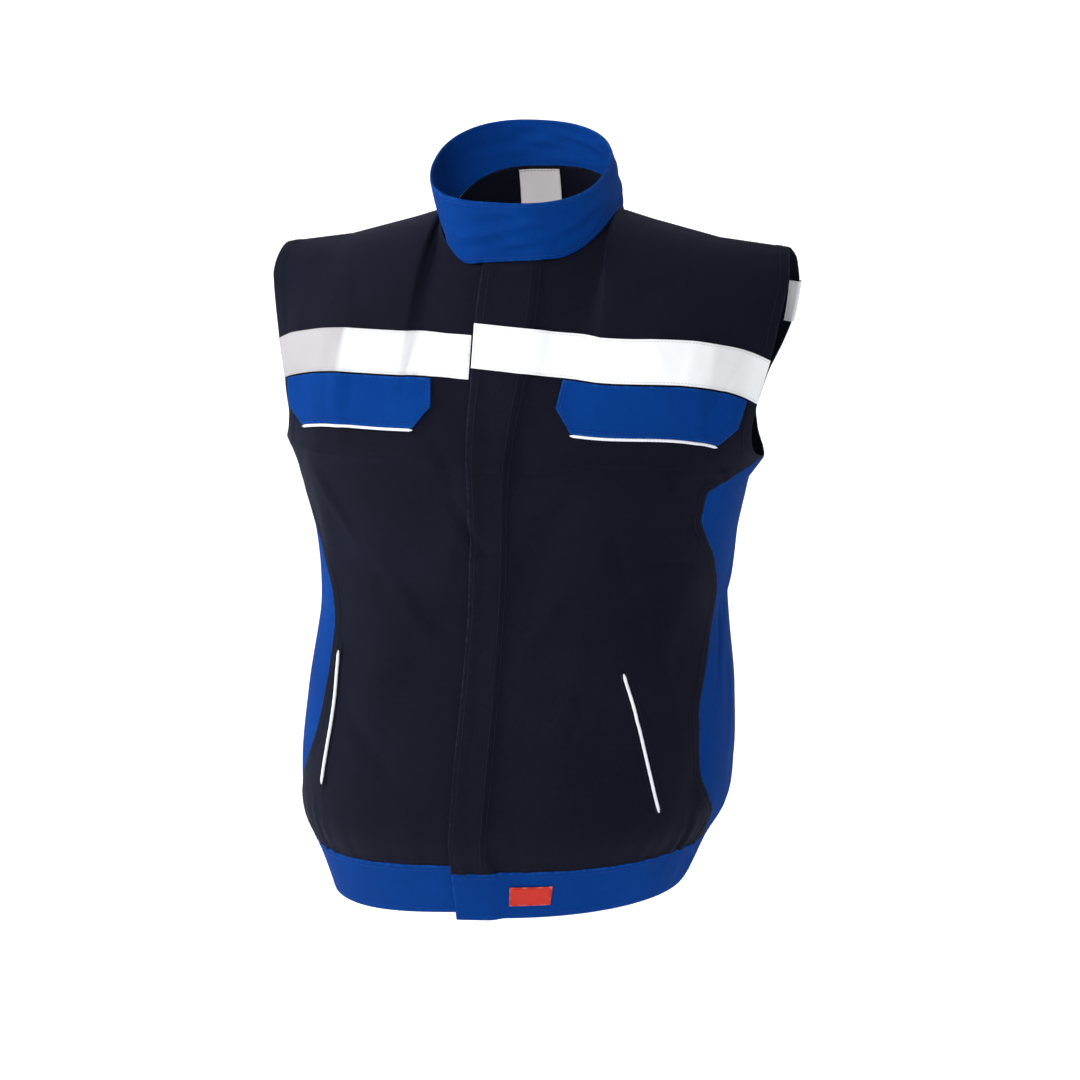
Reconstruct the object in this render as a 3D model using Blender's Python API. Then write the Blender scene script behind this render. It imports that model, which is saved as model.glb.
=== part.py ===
"""Flame-resistant work vest in its worn form: cloth panels, stand collar and reflective tape.

Metres, +Z up. The front faces -Y and +X is the wearer's left. The origin lies midway between
the two neck points, where a pair of shoulders carries the vest.

Every panel lies on one worn form. A place on it has an angle round the body (0 at the centre
front, positive to the wearer's left) and a run, its height measured along the cloth.
"""

from math import pi, radians

import bmesh
import bpy
import numpy as np

# Lengths of the worn form
NECK_TO_HEM = 0.780
CHEST_DROP = 0.290
CHEST_HALF_WIDTH = 0.254
CHEST_FRONT_DEPTH = 0.144
CHEST_BACK_DEPTH = 0.128
CHEST_BULGE = 0.016
SHOULDER_HALF_WIDTH = 0.285
SHOULDER_DROP = 0.041
SHOULDER_SETBACK = 0.012
SHOULDER_TILT = 0.004
SHOULDER_RUN = 0.440
NECK_HALF_WIDTH = 0.096
NECK_FRONT_REACH = 0.098
NECK_FRONT_DROP = 0.052
NECK_BACK_REACH = 0.060
NECK_BACK_RISE = 0.045
HEM_TILT = 0.021
HEM_SIDE_RISE = 0.017
RIGHT_HEM_LIFT = 0.008
HEM_LIFT_REACH = 0.240
ARMHOLE_DROP = 0.262

# Trims
WAISTBAND_HEIGHT = 0.061
PLACKET_WIDTH = 0.044
TAPE_WIDTH = 0.046
TAPE_DROP = 0.130
BACK_TAPE_DROP = 0.072
FLAP_HEIGHT = 0.054
FLAP_CORNER = 0.024
FLAP_BELOW_TAPE = 0.002
COLLAR_HALF_WIDTH = 0.0965
COLLAR_FRONT_REACH = 0.105
COLLAR_BACK_REACH = 0.085
COLLAR_FRONT_RISE = 0.011
COLLAR_BACK_RISE = 0.096
COLLAR_SIDE_DIP = 0.004
COLLAR_LEAN = 0.012
COLLAR_CORNER_RISE = 0.018
COLLAR_BOW = 0.003
NECK_LABEL_WIDTH = 0.046
NECK_LABEL_LENGTH = 0.075
HEM_TAB_WIDTH = 0.050
HEM_TAB_HEIGHT = 0.023
POCKET_TOP_RISE = 0.293
POCKET_LENGTH = 0.155

# Wall thicknesses and clearances
CLOTH = 0.0016
DOUBLE_CLOTH = 0.0030
FLAP_CLOTH = 0.0022
PLACKET_CLOTH = 0.0020
TAPE_CLOTH = 0.0012
LABEL_CLOTH = 0.0010
FLAP_PIPING_RADIUS = 0.0016
POCKET_PIPING_RADIUS = 0.0018
SEAM_GAP = 0.0005
LAYER_GAP = 0.0007
BAND_GAP = 0.0011
COLLAR_GAP = 0.0017
PLACKET_GAP = 0.0020
BACK_TAPE_GAP = 0.0019
INSIDE_GAP = 0.0018

# Angles round the body, in degrees
NECK_ANGLE = 24.0
SHOULDER_TIP_ANGLE = 67.0
NECK_EDGE_ARC = 62.0
PLACKET_FREE_ANGLE = -4.5
PLACKET_HEM_TURN = -3.5
COLLAR_END_ANGLE = -46.0
COLLAR_UNDERLAP = 20.0
COLLAR_TUCK_START = 330.0
COLLAR_TUCK_LENGTH = 26.0
COLLAR_CORNER_ANGLE = 18.0
FLAP_INNER_ANGLE = 12.5
FLAP_OUTER_ANGLES = {1: 60.5, -1: 56.5}
STEP_START = 0.5
STEP_LENGTH = 3.0
HEM_TAB_ANGLE = 15.0
NECK_LABEL_ANGLE = 181.3
LIFT_FADE_ANGLE = 46.0

# Shares
FOOT_TUCK_RISE = 0.7
PLACKET_TOP_NARROWING = 0.3
LAP_RAMP = 0.4
UNDERLAP_SHARE = 0.55

# How square the sections are
TORSO_SQUARENESS = 2.6
CHEST_SQUARENESS = 4.0
NECK_SQUARENESS = 3.0

# Share of the way from the neck point to the shoulder tip, then the share of SHOULDER_DROP.
SHOULDER_SLOPE = np.array([
    # outward, drop
    (0.00, 0.00),
    (0.20, 0.28),
    (0.60, 0.76),
    (1.00, 1.00),
])

# Drop below the chest as a share of the way to the hem, then half width, front depth and
# back depth as shares of the chest's.
GIRTHS = np.array([
    # drop, half width, front, back
    (1.000, 0.799, 0.889, 0.906),
    (0.892, 0.878, 1.014, 1.000),
    (0.816, 0.953, 1.097, 1.063),
    (0.694, 0.974, 1.111, 1.078),
    (0.520, 0.957, 1.069, 1.031),
    (0.276, 0.909, 1.014, 0.969),
    (0.122, 0.941, 1.014, 0.984),
    (0.000, 1.000, 1.000, 1.000),
])

# Drop below the neck points as a share of NECK_TO_HEM, then how far the form hangs to one
# side as a share of CHEST_HALF_WIDTH.
SWAY = np.array([
    # drop, shift
    (0.00, 0.000),
    (0.16, 0.000),
    (0.33, -0.026),
    (0.45, -0.012),
    (0.60, -0.016),
    (0.80, -0.040),
    (1.00, -0.067),
])

# Drop below the armholes as a share of the way to the waistband, then the angles of the
# wearer's left and right front seams and of both back seams.
SIDE_SEAMS = np.array([
    # drop, left, right, back
    (1.000, 80.0, 84.0, 112.0),
    (0.967, 76.5, 82.0, 113.5),
    (0.930, 73.0, 80.0, 115.0),
    (0.864, 66.0, 71.0, 117.0),
    (0.774, 60.5, 57.0, 119.0),
    (0.700, 59.5, 52.0, 120.0),
    (0.620, 59.0, 50.0, 120.0),
    (0.535, 62.5, 49.0, 120.0),
    (0.453, 67.0, 49.0, 120.0),
    (0.336, 73.0, 51.0, 120.0),
    (0.240, 67.0, 58.0, 121.0),
    (0.180, 60.0, 66.0, 121.0),
    (0.127, 56.0, 71.0, 120.0),
    (0.075, 56.0, 74.0, 118.0),
    (0.048, 63.0, 77.0, 114.0),
    (0.022, 74.0, 81.0, 104.0),
    (0.000, 88.0, 88.0, 92.0),
])

# Climb from the armhole's lowest point as a share of the way to the shoulder, then the
# armhole edge's angle on the wearer's left and right front and on the back.
ARMHOLE = np.array([
    # climb, left, right, back
    (0.010, 82.0, 79.0, 80.0),
    (0.030, 75.0, 69.0, 70.5),
    (0.065, 70.0, 62.0, 63.5),
    (0.125, 66.5, 58.5, 59.0),
    (0.220, 65.0, 59.0, 59.5),
    (0.330, 65.0, 61.5, 63.0),
    (0.450, 65.0, 63.5, 65.5),
    (0.580, 65.5, 65.0, 66.0),
    (0.710, 66.0, 66.0, 66.5),
    (0.830, 66.5, 66.5, 67.0),
    (0.930, 67.0, 67.0, 67.0),
    (1.000, 67.0, 67.0, 67.0),
])

# Tape height at each angle: drops as shares of TAPE_DROP for each front piece.
TAPE_LINE = np.array([
    # angle, left, right
    (-4.5, 0.90, 1.01),
    (12.0, 0.95, 0.98),
    (25.0, 0.98, 0.98),
    (45.0, 1.00, 1.00),
    (55.0, 1.06, 1.06),
    (68.0, 1.20, 1.20),
])

# Main folds: angle of the middle, drop as a share of NECK_TO_HEM, half length, half width
# and height as shares of CHEST_HALF_WIDTH, and tilt from the horizontal.
FOLDS = np.array([
    # angle, drop, half length, half width, height, tilt
    (-51.0, 0.460, 0.450, 0.080, 0.016, 88.0),
    (-50.0, 0.230, 0.300, 0.060, -0.010, 90.0),
    (50.0, 0.230, 0.300, 0.060, -0.010, 90.0),
    (-8.0, 0.420, 0.250, 0.070, 0.012, 70.0),
    (14.0, 0.440, 0.260, 0.070, -0.012, 60.0),
    (32.0, 0.440, 0.300, 0.070, 0.013, 50.0),
    (38.0, 0.540, 0.240, 0.060, -0.015, 35.0),
    (45.0, 0.600, 0.250, 0.070, 0.014, 60.0),
    (-25.0, 0.520, 0.300, 0.080, -0.010, -20.0),
    (-30.0, 0.640, 0.300, 0.090, 0.010, 75.0),
    (22.0, 0.700, 0.350, 0.090, 0.010, 80.0),
    (58.0, 0.820, 0.300, 0.070, -0.010, 75.0),
    (8.0, 0.860, 0.250, 0.080, 0.010, 20.0),
    (-40.0, 0.850, 0.300, 0.080, -0.008, 15.0),
    (90.0, 0.560, 0.240, 0.070, -0.014, 10.0),
    (-90.0, 0.560, 0.240, 0.070, -0.014, -10.0),
    (140.0, 0.420, 0.500, 0.100, 0.014, 80.0),
    (160.0, 0.560, 0.400, 0.090, -0.012, 25.0),
    (180.0, 0.720, 0.500, 0.110, 0.014, 88.0),
    (-155.0, 0.540, 0.450, 0.090, 0.013, -30.0),
    (-140.0, 0.700, 0.450, 0.100, -0.012, 85.0),
    (-160.0, 0.300, 0.400, 0.100, -0.010, 70.0),
])

# Pocket pipings: share of POCKET_LENGTH down from the top, then the two angles.
POCKET_LINE = np.array([
    # share, left, right
    (0.00, 35.0, -45.0),
    (0.40, 39.0, -44.0),
    (0.75, 42.5, -45.0),
    (1.00, 45.5, -46.5),
])

FOLD_RADIUS = 0.9 * CHEST_HALF_WIDTH
SHOULDER_TOP = SHOULDER_RUN - CHEST_DROP
WAIST_SEAM = WAISTBAND_HEIGHT - NECK_TO_HEM
PROBE = 1e-4


def smooth(share):
    """Ease from 0 to 1 with level ends."""
    share = np.clip(share, 0.0, 1.0)
    return share * share * (3.0 - 2.0 * share)


def along(table, key, column):
    """Read a table's column at key with a smooth curve through its rows."""
    order = np.argsort(table[:, 0])
    keys = table[order, 0]
    values = table[order, column]
    slopes = np.gradient(values, keys)
    key = np.clip(key, keys[0], keys[-1])
    low = np.clip(np.searchsorted(keys, key) - 1, 0, len(keys) - 2)
    step = keys[low + 1] - keys[low]
    part = (key - keys[low]) / step
    ease = part * part * (3.0 - 2.0 * part)
    start_pull = part * (1.0 - part) ** 2 * step * slopes[low]
    end_pull = -part * part * (1.0 - part) * step * slopes[low + 1]
    return values[low] + ease * (values[low + 1] - values[low]) + start_pull + end_pull


def squared_circle(angle, squareness):
    """Sine and cosine of an angle on a superellipse."""
    sine, cosine = np.sin(angle), np.cos(angle)
    reach = (np.abs(sine) ** squareness + np.abs(cosine) ** squareness) ** (-1.0 / squareness)
    return reach * sine, reach * cosine


def top_line(angle, climb):
    """The neckline and shoulder line at an angle, and how near the neck's middle it is."""
    front = np.cos(angle) > 0.0
    turn = np.arctan2(np.abs(np.sin(angle)), np.abs(np.cos(angle)))
    round_neck = np.clip(turn / radians(NECK_ANGLE), 0.0, 1.0) * pi / 2
    across, ahead = squared_circle(round_neck, NECK_SQUARENESS)
    ahead = np.clip(ahead, 0.0, 1.0)
    span = radians(SHOULDER_TIP_ANGLE - NECK_ANGLE)
    outward = np.clip((turn - radians(NECK_ANGLE)) / span, 0.0, None)
    shoulder = NECK_HALF_WIDTH + (SHOULDER_HALF_WIDTH - NECK_HALF_WIDTH) * outward
    x = np.sign(np.sin(angle)) * np.where(outward > 0.0, shoulder, NECK_HALF_WIDTH * across)
    reach = np.where(front, -NECK_FRONT_REACH, NECK_BACK_REACH)
    rise = np.where(front, -NECK_FRONT_DROP, NECK_BACK_RISE)
    seam = SHOULDER_SETBACK + np.where(front, -0.5, 0.5) * SEAM_GAP
    y = seam + reach * ahead ** (2.0 - climb ** 6)
    z = rise * ahead ** 2
    z = z - SHOULDER_DROP * np.interp(outward, SHOULDER_SLOPE[:, 0], SHOULDER_SLOPE[:, 1])
    return x, y, z + SHOULDER_TILT * x / SHOULDER_HALF_WIDTH, ahead


def plain_form(angle, run):
    """The worn form without folds: superellipse sections that arch over to the shoulders."""
    depth = np.clip((-CHEST_DROP - run) / (NECK_TO_HEM - CHEST_DROP), 0.0, 1.0)
    climb = np.clip((run + CHEST_DROP) / SHOULDER_RUN, 0.0, 1.0)
    squareness = TORSO_SQUARENESS + (CHEST_SQUARENESS - TORSO_SQUARENESS) * smooth(2.5 * climb)
    sine, cosine = squared_circle(angle, squareness)
    half_width = CHEST_HALF_WIDTH * along(GIRTHS, depth, 1)
    front = CHEST_FRONT_DEPTH * along(GIRTHS, depth, 2)
    back = CHEST_BACK_DEPTH * along(GIRTHS, depth, 3)
    x_low = half_width * sine
    y_low = np.where(cosine > 0.0, -front, -back) * cosine
    x_top, y_top, z_top, ahead = top_line(angle, climb)
    arc = np.radians(90.0 + (NECK_EDGE_ARC - 90.0) * ahead)
    widen = np.clip(1.5 * climb, 0.0, 1.0) ** 0.9
    bulge = CHEST_BULGE * np.sin(pi * climb) * sine
    x = x_low + (x_top - x_low) * widen + bulge
    y = y_low + (y_top - y_low) * (1.0 - np.cos(arc * climb)) / (1.0 - np.cos(arc))
    z = np.minimum(run, -CHEST_DROP)
    z = z + (z_top + CHEST_DROP) * np.sin(arc * climb) / np.sin(arc)
    drop = np.clip(-z / NECK_TO_HEM, 0.0, 1.0)
    aside = x / CHEST_HALF_WIDTH
    z = z + (HEM_TILT * aside + HEM_SIDE_RISE * aside ** 2) * drop ** 3
    return np.stack([x + CHEST_HALF_WIDTH * along(SWAY, drop, 1), y, z], axis=-1)


def outward(surface, angle, run):
    """Unit normals of a surface of angle and run, pointing away from the body."""
    across = surface(angle + PROBE, run) - surface(angle - PROBE, run)
    below = np.minimum(run, SHOULDER_TOP) - 4.0 * PROBE
    upward = surface(angle, run) - surface(angle, below)
    normal = np.cross(across, upward)
    return normal / np.linalg.norm(normal, axis=-1, keepdims=True)


def fold_height(angle, run):
    """Height of the folds at a place: a sum of long smooth ridges and hollows."""
    total = np.zeros(np.shape(angle))
    for middle, drop, half_length, half_width, height, tilt in FOLDS:
        turn = np.arctan2(np.sin(angle - radians(middle)), np.cos(angle - radians(middle)))
        across = turn * FOLD_RADIUS
        upward = run + drop * NECK_TO_HEM
        lengthwise = across * np.cos(radians(tilt)) + upward * np.sin(radians(tilt))
        sideways = upward * np.cos(radians(tilt)) - across * np.sin(radians(tilt))
        far = (lengthwise / (half_length * CHEST_HALF_WIDTH)) ** 2
        far = far + (sideways / (half_width * CHEST_HALF_WIDTH)) ** 2
        total = total + height * CHEST_HALF_WIDTH * np.exp(-far)
    return total


def form(angle, run):
    """The worn form with its folds."""
    angle, run = np.broadcast_arrays(np.asarray(angle, float), np.asarray(run, float))
    lift = fold_height(angle, run)[..., None]
    return plain_form(angle, run) + lift * outward(plain_form, angle, run)


def lifted(angle, run, lift):
    """Places on the form, raised by a lift along the outward normal."""
    angle, run, lift = np.broadcast_arrays(angle, run, lift)
    return form(angle, run) + lift[..., None] * outward(form, angle, run)


def run_at_drop(angle, drop):
    """The run at which the form lies a given drop below the neck points."""
    angle, drop = np.broadcast_arrays(np.asarray(angle, float), np.asarray(drop, float))
    low = np.full(angle.shape, -NECK_TO_HEM)
    high = np.full(angle.shape, SHOULDER_TOP)
    for _ in range(24):
        middle = 0.5 * (low + high)
        above = plain_form(angle, middle)[..., 2] > -drop
        high = np.where(above, middle, high)
        low = np.where(above, low, middle)
    return 0.5 * (low + high)


def finish(name, colour, roughness):
    """A plain Principled finish."""
    made = bpy.data.materials.new(name)
    made.use_nodes = True
    shader = made.node_tree.nodes["Principled BSDF"]
    shader.inputs["Base Color"].default_value = (*colour, 1.0)
    shader.inputs["Roughness"].default_value = roughness
    shader.inputs["Metallic"].default_value = 0.0
    return made


def wall(name, inner, outer, material):
    """A closed wall between two grids of points: both faces and the four edge strips."""
    rows, columns = inner.shape[:2]
    count = rows * columns
    index = np.arange(count).reshape(rows, columns)
    face = np.stack([index[:-1, :-1], index[:-1, 1:], index[1:, 1:], index[1:, :-1]], axis=-1)
    rim = np.concatenate([index[0, :-1], index[:-1, -1], index[-1, :0:-1], index[:0:-1, 0]])
    ahead = np.roll(rim, -1)
    strip = np.stack([rim, ahead, ahead + count, rim + count], axis=-1)
    faces = np.concatenate([face.reshape(-1, 4), face.reshape(-1, 4)[:, ::-1] + count, strip])
    mesh = bpy.data.meshes.new(name)
    mesh.from_pydata(np.concatenate([inner.reshape(-1, 3), outer.reshape(-1, 3)]).tolist(), [],
                     faces.tolist())
    solid = bmesh.new()
    solid.from_mesh(mesh)
    bmesh.ops.recalc_face_normals(solid, faces=solid.faces)
    solid.to_mesh(mesh)
    solid.free()
    mesh.materials.append(material)
    mesh.shade_smooth()
    mesh.set_sharp_from_angle(angle=radians(40))
    piece = bpy.data.objects.new(name, mesh)
    bpy.context.collection.objects.link(piece)
    return piece


def cloth(name, angle, run, base, thickness, material):
    """A cloth wall over a grid of angles and runs, its inside lifted by base."""
    inner = lifted(angle, run, base)
    outer = lifted(angle, run, np.asarray(base) + thickness)
    return wall(name, inner, outer, material)


def tube(name, points, radius, material):
    """A round cord through points."""
    curve = bpy.data.curves.new(name, "CURVE")
    curve.dimensions = "3D"
    curve.bevel_depth = radius
    curve.bevel_resolution = 1
    curve.use_fill_caps = True
    spline = curve.splines.new("POLY")
    spline.points.add(len(points) - 1)
    spline.points.foreach_set("co", np.column_stack([points, np.ones(len(points))]).ravel())
    curve.materials.append(material)
    piece = bpy.data.objects.new(name, curve)
    bpy.context.collection.objects.link(piece)
    return piece


def seam_runs():
    """The rows that the panels and side panels share below the armholes."""
    runs = -ARMHOLE_DROP + SIDE_SEAMS[:, 0] * (WAIST_SEAM + ARMHOLE_DROP)
    runs[0] += BAND_GAP
    return runs


def right_lift(angle, run):
    """How far the wearer's right half hangs higher than the left, most at its free edge."""
    deep = smooth((HEM_LIFT_REACH - NECK_TO_HEM - run) / (HEM_LIFT_REACH - WAISTBAND_HEIGHT))
    return RIGHT_HEM_LIFT * deep * (1.0 - smooth(-angle / radians(LIFT_FADE_ANGLE)))


def armhole_runs():
    """The rows from the armhole's lowest point to the shoulder seam."""
    return -ARMHOLE_DROP + ARMHOLE[:, 0] * (SHOULDER_TOP + ARMHOLE_DROP)


def panel_rows():
    """Runs of the rows of a front or back panel."""
    return np.concatenate([seam_runs(), armhole_runs()])


def seam_inset(edge):
    """Half a seam gap square to a side seam, as an angle along each of its rows."""
    slope = np.abs(np.diff(np.radians(edge)) * CHEST_HALF_WIDTH / np.diff(seam_runs()))
    steepest = np.maximum(np.append(slope, 0.0), np.insert(slope, 0, 0.0))
    return np.degrees(0.5 * SEAM_GAP * np.hypot(1.0, steepest) / FOLD_RADIUS)


def outer_edge(seam, column):
    """The outer edge of a panel: its side seam pulled back by its gap, then its armhole."""
    return np.concatenate([seam - seam_inset(seam), ARMHOLE[:, column]])


def column_shares():
    """Columns from the centre line to the outer edge, with one at the neck point."""
    neck = NECK_ANGLE / SHOULDER_TIP_ANGLE
    return np.concatenate([np.linspace(0.0, neck, 5), np.linspace(neck, 1.0, 7)[1:]])


def front_panel(name, side, material):
    """One front from the centre line to the side seam; side is 1 on the wearer's left."""
    column = 1 if side > 0 else 2
    edge = outer_edge(SIDE_SEAMS[:, column], column)[:, None]
    start = np.degrees(0.5 * SEAM_GAP / FOLD_RADIUS)
    angles = side * np.radians(start + (edge - start) * column_shares()[None, :])
    runs = panel_rows()[:, None]
    if side < 0:
        runs = runs + right_lift(angles, runs)
    return cloth(name, angles, runs, 0.0, CLOTH, material)


def back_panel(material):
    """The whole back, from side seam to side seam."""
    edge = outer_edge(180.0 - SIDE_SEAMS[:, 3], 3)[:, None]
    shares = column_shares()
    shares = np.concatenate([-shares[:0:-1], shares])[None, :]
    return cloth("back_panel", np.radians(180.0 + edge * shares), panel_rows()[:, None],
                 0.0, CLOTH, material)


def side_panel(name, side, material):
    """The contrast panel under one arm, between the front seam and the back seam."""
    front = SIDE_SEAMS[:, 1 if side > 0 else 2]
    back = SIDE_SEAMS[:, 3]
    start = (front + seam_inset(front))[:, None]
    end = (back - seam_inset(back))[:, None]
    angles = start + (end - start) * np.linspace(0.0, 1.0, 6)[None, :]
    return cloth(name, side * np.radians(angles), seam_runs()[:, None], 0.0, CLOTH, material)


def placket_edge(run):
    """Angle of the placket's free edge, turning a little away towards the hem."""
    down = np.clip((TAPE_DROP + run) / (TAPE_DROP + WAIST_SEAM), 0.0, 1.0)
    return PLACKET_FREE_ANGLE + PLACKET_HEM_TURN * down


def placket_end_angle():
    """Angle of the placket's stitched edge at the chest."""
    return PLACKET_FREE_ANGLE + np.degrees(PLACKET_WIDTH / CHEST_HALF_WIDTH)


def placket(material):
    """The raised fly strip of the wearer's left front, over the meeting fronts."""
    top = SHOULDER_TOP - 3.0 * DOUBLE_CLOTH
    runs = np.linspace(WAIST_SEAM + SEAM_GAP, top, 34)[:, None]
    shares = np.linspace(0.0, 1.0, 4)[None, :]
    narrowing = 1.0 - PLACKET_TOP_NARROWING * smooth((runs + TAPE_DROP) / (SHOULDER_TOP + TAPE_DROP))
    width = (placket_end_angle() - PLACKET_FREE_ANGLE) * narrowing
    angles = placket_edge(runs) + width * shares
    return cloth("placket", np.radians(angles), runs, CLOTH + PLACKET_GAP, PLACKET_CLOTH, material)


def over_placket(angle):
    """Lift of a layer that lies on the placket and steps down to the panel beside it."""
    edge = placket_end_angle()
    share = smooth((angle - edge - STEP_START) / STEP_LENGTH)
    return CLOTH + LAYER_GAP + (PLACKET_CLOTH + PLACKET_GAP) * (1.0 - share)


def tape_drop(angle, column):
    """Drop of a front tape's top edge at an angle in degrees."""
    return TAPE_DROP * along(TAPE_LINE, angle, column)


def front_tape(name, side, material):
    """One front piece of reflective tape, from the placket's free edge to the armhole."""
    column = 1 if side > 0 else 2
    first = PLACKET_FREE_ANGLE if side > 0 else -PLACKET_FREE_ANGLE + 0.5
    angles = np.linspace(first, ARMHOLE[4, column] - 1.0, 34)[None, :]
    shares = np.linspace(0.0, 1.0, 3)[:, None]
    drops = tape_drop(angles, column) + TAPE_WIDTH * shares
    turned = side * np.radians(angles)
    lift = over_placket(angles) if side > 0 else CLOTH + LAYER_GAP
    runs = run_at_drop(*np.broadcast_arrays(turned, drops))
    return cloth(name, turned, runs, lift, TAPE_CLOTH, material)


def back_tape(material):
    """The piece of reflective tape across the back, between the armholes."""
    shares = column_shares()
    shares = np.interp(np.arange(2 * len(shares) - 1) / 2.0, np.arange(len(shares)), shares)
    shares = np.concatenate([-shares[:0:-1], shares])[None, :]
    angles = np.radians(180.0 + (ARMHOLE[5, 3] - 1.0) * shares)
    drops = BACK_TAPE_DROP + TAPE_WIDTH * np.linspace(0.0, 1.0, 4)[:, None]
    runs = run_at_drop(*np.broadcast_arrays(angles, drops))
    return cloth("tape_back", angles, runs, CLOTH + BACK_TAPE_GAP, TAPE_CLOTH, material)


def flap_top(angle, side):
    """Drop of a pocket flap's top edge, just below the tape."""
    return tape_drop(angle, 1 if side > 0 else 2) + TAPE_WIDTH + FLAP_BELOW_TAPE


def flap_corner_turn():
    """Angle that a flap's cut corner takes up."""
    return np.degrees(FLAP_CORNER / CHEST_HALF_WIDTH)


def flap_bottom(angle, side):
    """Drop of a flap's lower edge, with its two corners cut off."""
    turn = flap_corner_turn()
    inside = np.clip((angle - FLAP_INNER_ANGLE) / turn, 0.0, 1.0)
    outside = np.clip((FLAP_OUTER_ANGLES[side] - angle) / turn, 0.0, 1.0)
    cut = FLAP_CORNER * (2.0 - inside - outside)
    return flap_top(angle, side) + FLAP_HEIGHT - cut


def flap(name, side, material):
    """A chest pocket flap, lying on its front below the tape."""
    turn = flap_corner_turn()
    outer = FLAP_OUTER_ANGLES[side]
    angles = np.concatenate([
        np.linspace(FLAP_INNER_ANGLE, FLAP_INNER_ANGLE + turn, 4),
        np.linspace(FLAP_INNER_ANGLE + turn, outer - turn, 18)[1:-1],
        np.linspace(outer - turn, outer, 4)])[None, :]
    shares = np.linspace(0.0, 1.0, 4)[:, None]
    top = flap_top(angles, side)
    drops = top + (flap_bottom(angles, side) - top) * shares
    turned = side * np.radians(angles)
    runs = run_at_drop(*np.broadcast_arrays(turned, drops))
    return cloth(name, turned, runs, CLOTH + LAYER_GAP, FLAP_CLOTH, material)


def flap_piping(name, side, material):
    """The light cord along a flap's lower edge, between the cut corners."""
    turn = flap_corner_turn()
    angles = np.linspace(FLAP_INNER_ANGLE + turn, FLAP_OUTER_ANGLES[side] - turn, 26)
    drops = flap_bottom(angles, side) + FLAP_PIPING_RADIUS + SEAM_GAP
    turned = side * np.radians(angles)
    lift = CLOTH + LAYER_GAP + FLAP_PIPING_RADIUS
    points = lifted(turned, run_at_drop(turned, drops), lift)
    return tube(name, points, FLAP_PIPING_RADIUS, material)


def pocket_piping(name, column, material):
    """The light cord along a slanted hand pocket's opening."""
    shares = np.linspace(0.0, 1.0, 20)
    angles = np.radians(along(POCKET_LINE, shares, column))
    drops = NECK_TO_HEM - POCKET_TOP_RISE + POCKET_LENGTH * shares
    points = lifted(angles, run_at_drop(angles, drops), CLOTH + LAYER_GAP + POCKET_PIPING_RADIUS)
    return tube(name, points, POCKET_PIPING_RADIUS, material)


def waistband(name, first, last, columns, lift, material):
    """A stretch of the waistband between two angles in degrees."""
    angles = np.linspace(first, last, columns)[None, :]
    turned = np.radians(angles)
    runs = np.linspace(-NECK_TO_HEM, WAIST_SEAM, 3)[:, None]
    if name == "waistband_right":
        runs = runs + right_lift(turned, runs)
    return cloth(name, turned, runs, lift(angles), DOUBLE_CLOTH, material)


def waistbands(material):
    """The waistband in three lengths; the wearer's left end laps over the right one."""
    left_side, right_side = SIDE_SEAMS[0, 1:3]
    inset = np.degrees(0.5 * SEAM_GAP / FOLD_RADIUS)
    free_end = placket_edge(WAIST_SEAM)
    lap_end = placket_end_angle()
    ramp = LAP_RAMP * (lap_end - free_end)

    def lapped(angle):
        return (DOUBLE_CLOTH + LAYER_GAP) * smooth((lap_end + 0.5 * ramp - angle) / ramp)

    def level(angle):
        return np.zeros_like(angle)

    under_end = free_end + UNDERLAP_SHARE * (lap_end - free_end)
    waistband("waistband_left", free_end, left_side - inset, 26, lapped, material)
    waistband("waistband_right", under_end, -right_side + inset, 22, level, material)
    waistband("waistband_back", left_side + inset, 360.0 - right_side - inset, 36, level,
              material)


def hem_tab(material):
    """The small woven tab on the waistband beside the placket, left blank."""
    half = np.degrees(0.5 * HEM_TAB_WIDTH / CHEST_HALF_WIDTH)
    angles = np.radians(np.linspace(HEM_TAB_ANGLE - half, HEM_TAB_ANGLE + half, 6))[None, :]
    middle = WAIST_SEAM - 0.5 * WAISTBAND_HEIGHT
    runs = np.linspace(middle - 0.5 * HEM_TAB_HEIGHT, middle + 0.5 * HEM_TAB_HEIGHT, 3)[:, None]
    return cloth("hem_tab", angles, runs, DOUBLE_CLOTH + LAYER_GAP, LABEL_CLOTH, material)


def neck_label(material):
    """The blank label inside the back neck."""
    half = np.degrees(0.5 * NECK_LABEL_WIDTH / NECK_HALF_WIDTH) * NECK_ANGLE / 90.0
    angles = np.radians(NECK_LABEL_ANGLE + np.linspace(-half, half, 6))[None, :]
    top = SHOULDER_TOP - 2.0 * DOUBLE_CLOTH
    runs = np.linspace(top - NECK_LABEL_LENGTH, top, 8)[:, None]
    return cloth("neck_label", angles, runs, -INSIDE_GAP - LABEL_CLOTH, LABEL_CLOTH, material)


def neckline(round_neck):
    """The panels' neck edge at an angle round the neck."""
    turn = np.arctan2(np.sin(round_neck), np.cos(round_neck))
    front = np.abs(turn) <= pi / 2
    away = np.where(front, np.abs(turn), pi - np.abs(turn)) * radians(NECK_ANGLE) / (pi / 2)
    angle = np.sign(turn) * np.where(front, away, pi - away)
    return form(angle, SHOULDER_TOP)


def collar_rim(round_neck, outset):
    """The collar's top edge, dipping from the back neck to the front."""
    sine, cosine = squared_circle(round_neck, 0.5 * (2.0 + NECK_SQUARENESS))
    reach = np.where(cosine > 0.0, COLLAR_FRONT_REACH, COLLAR_BACK_REACH)
    x = (COLLAR_HALF_WIDTH + outset) * sine - COLLAR_LEAN
    y = -(reach + outset) * cosine
    middle = 0.5 * (COLLAR_FRONT_RISE + COLLAR_BACK_RISE)
    z = middle - (middle - COLLAR_FRONT_RISE) * cosine - COLLAR_SIDE_DIP * sine * sine
    return np.stack([x, y, z], axis=-1)


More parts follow.
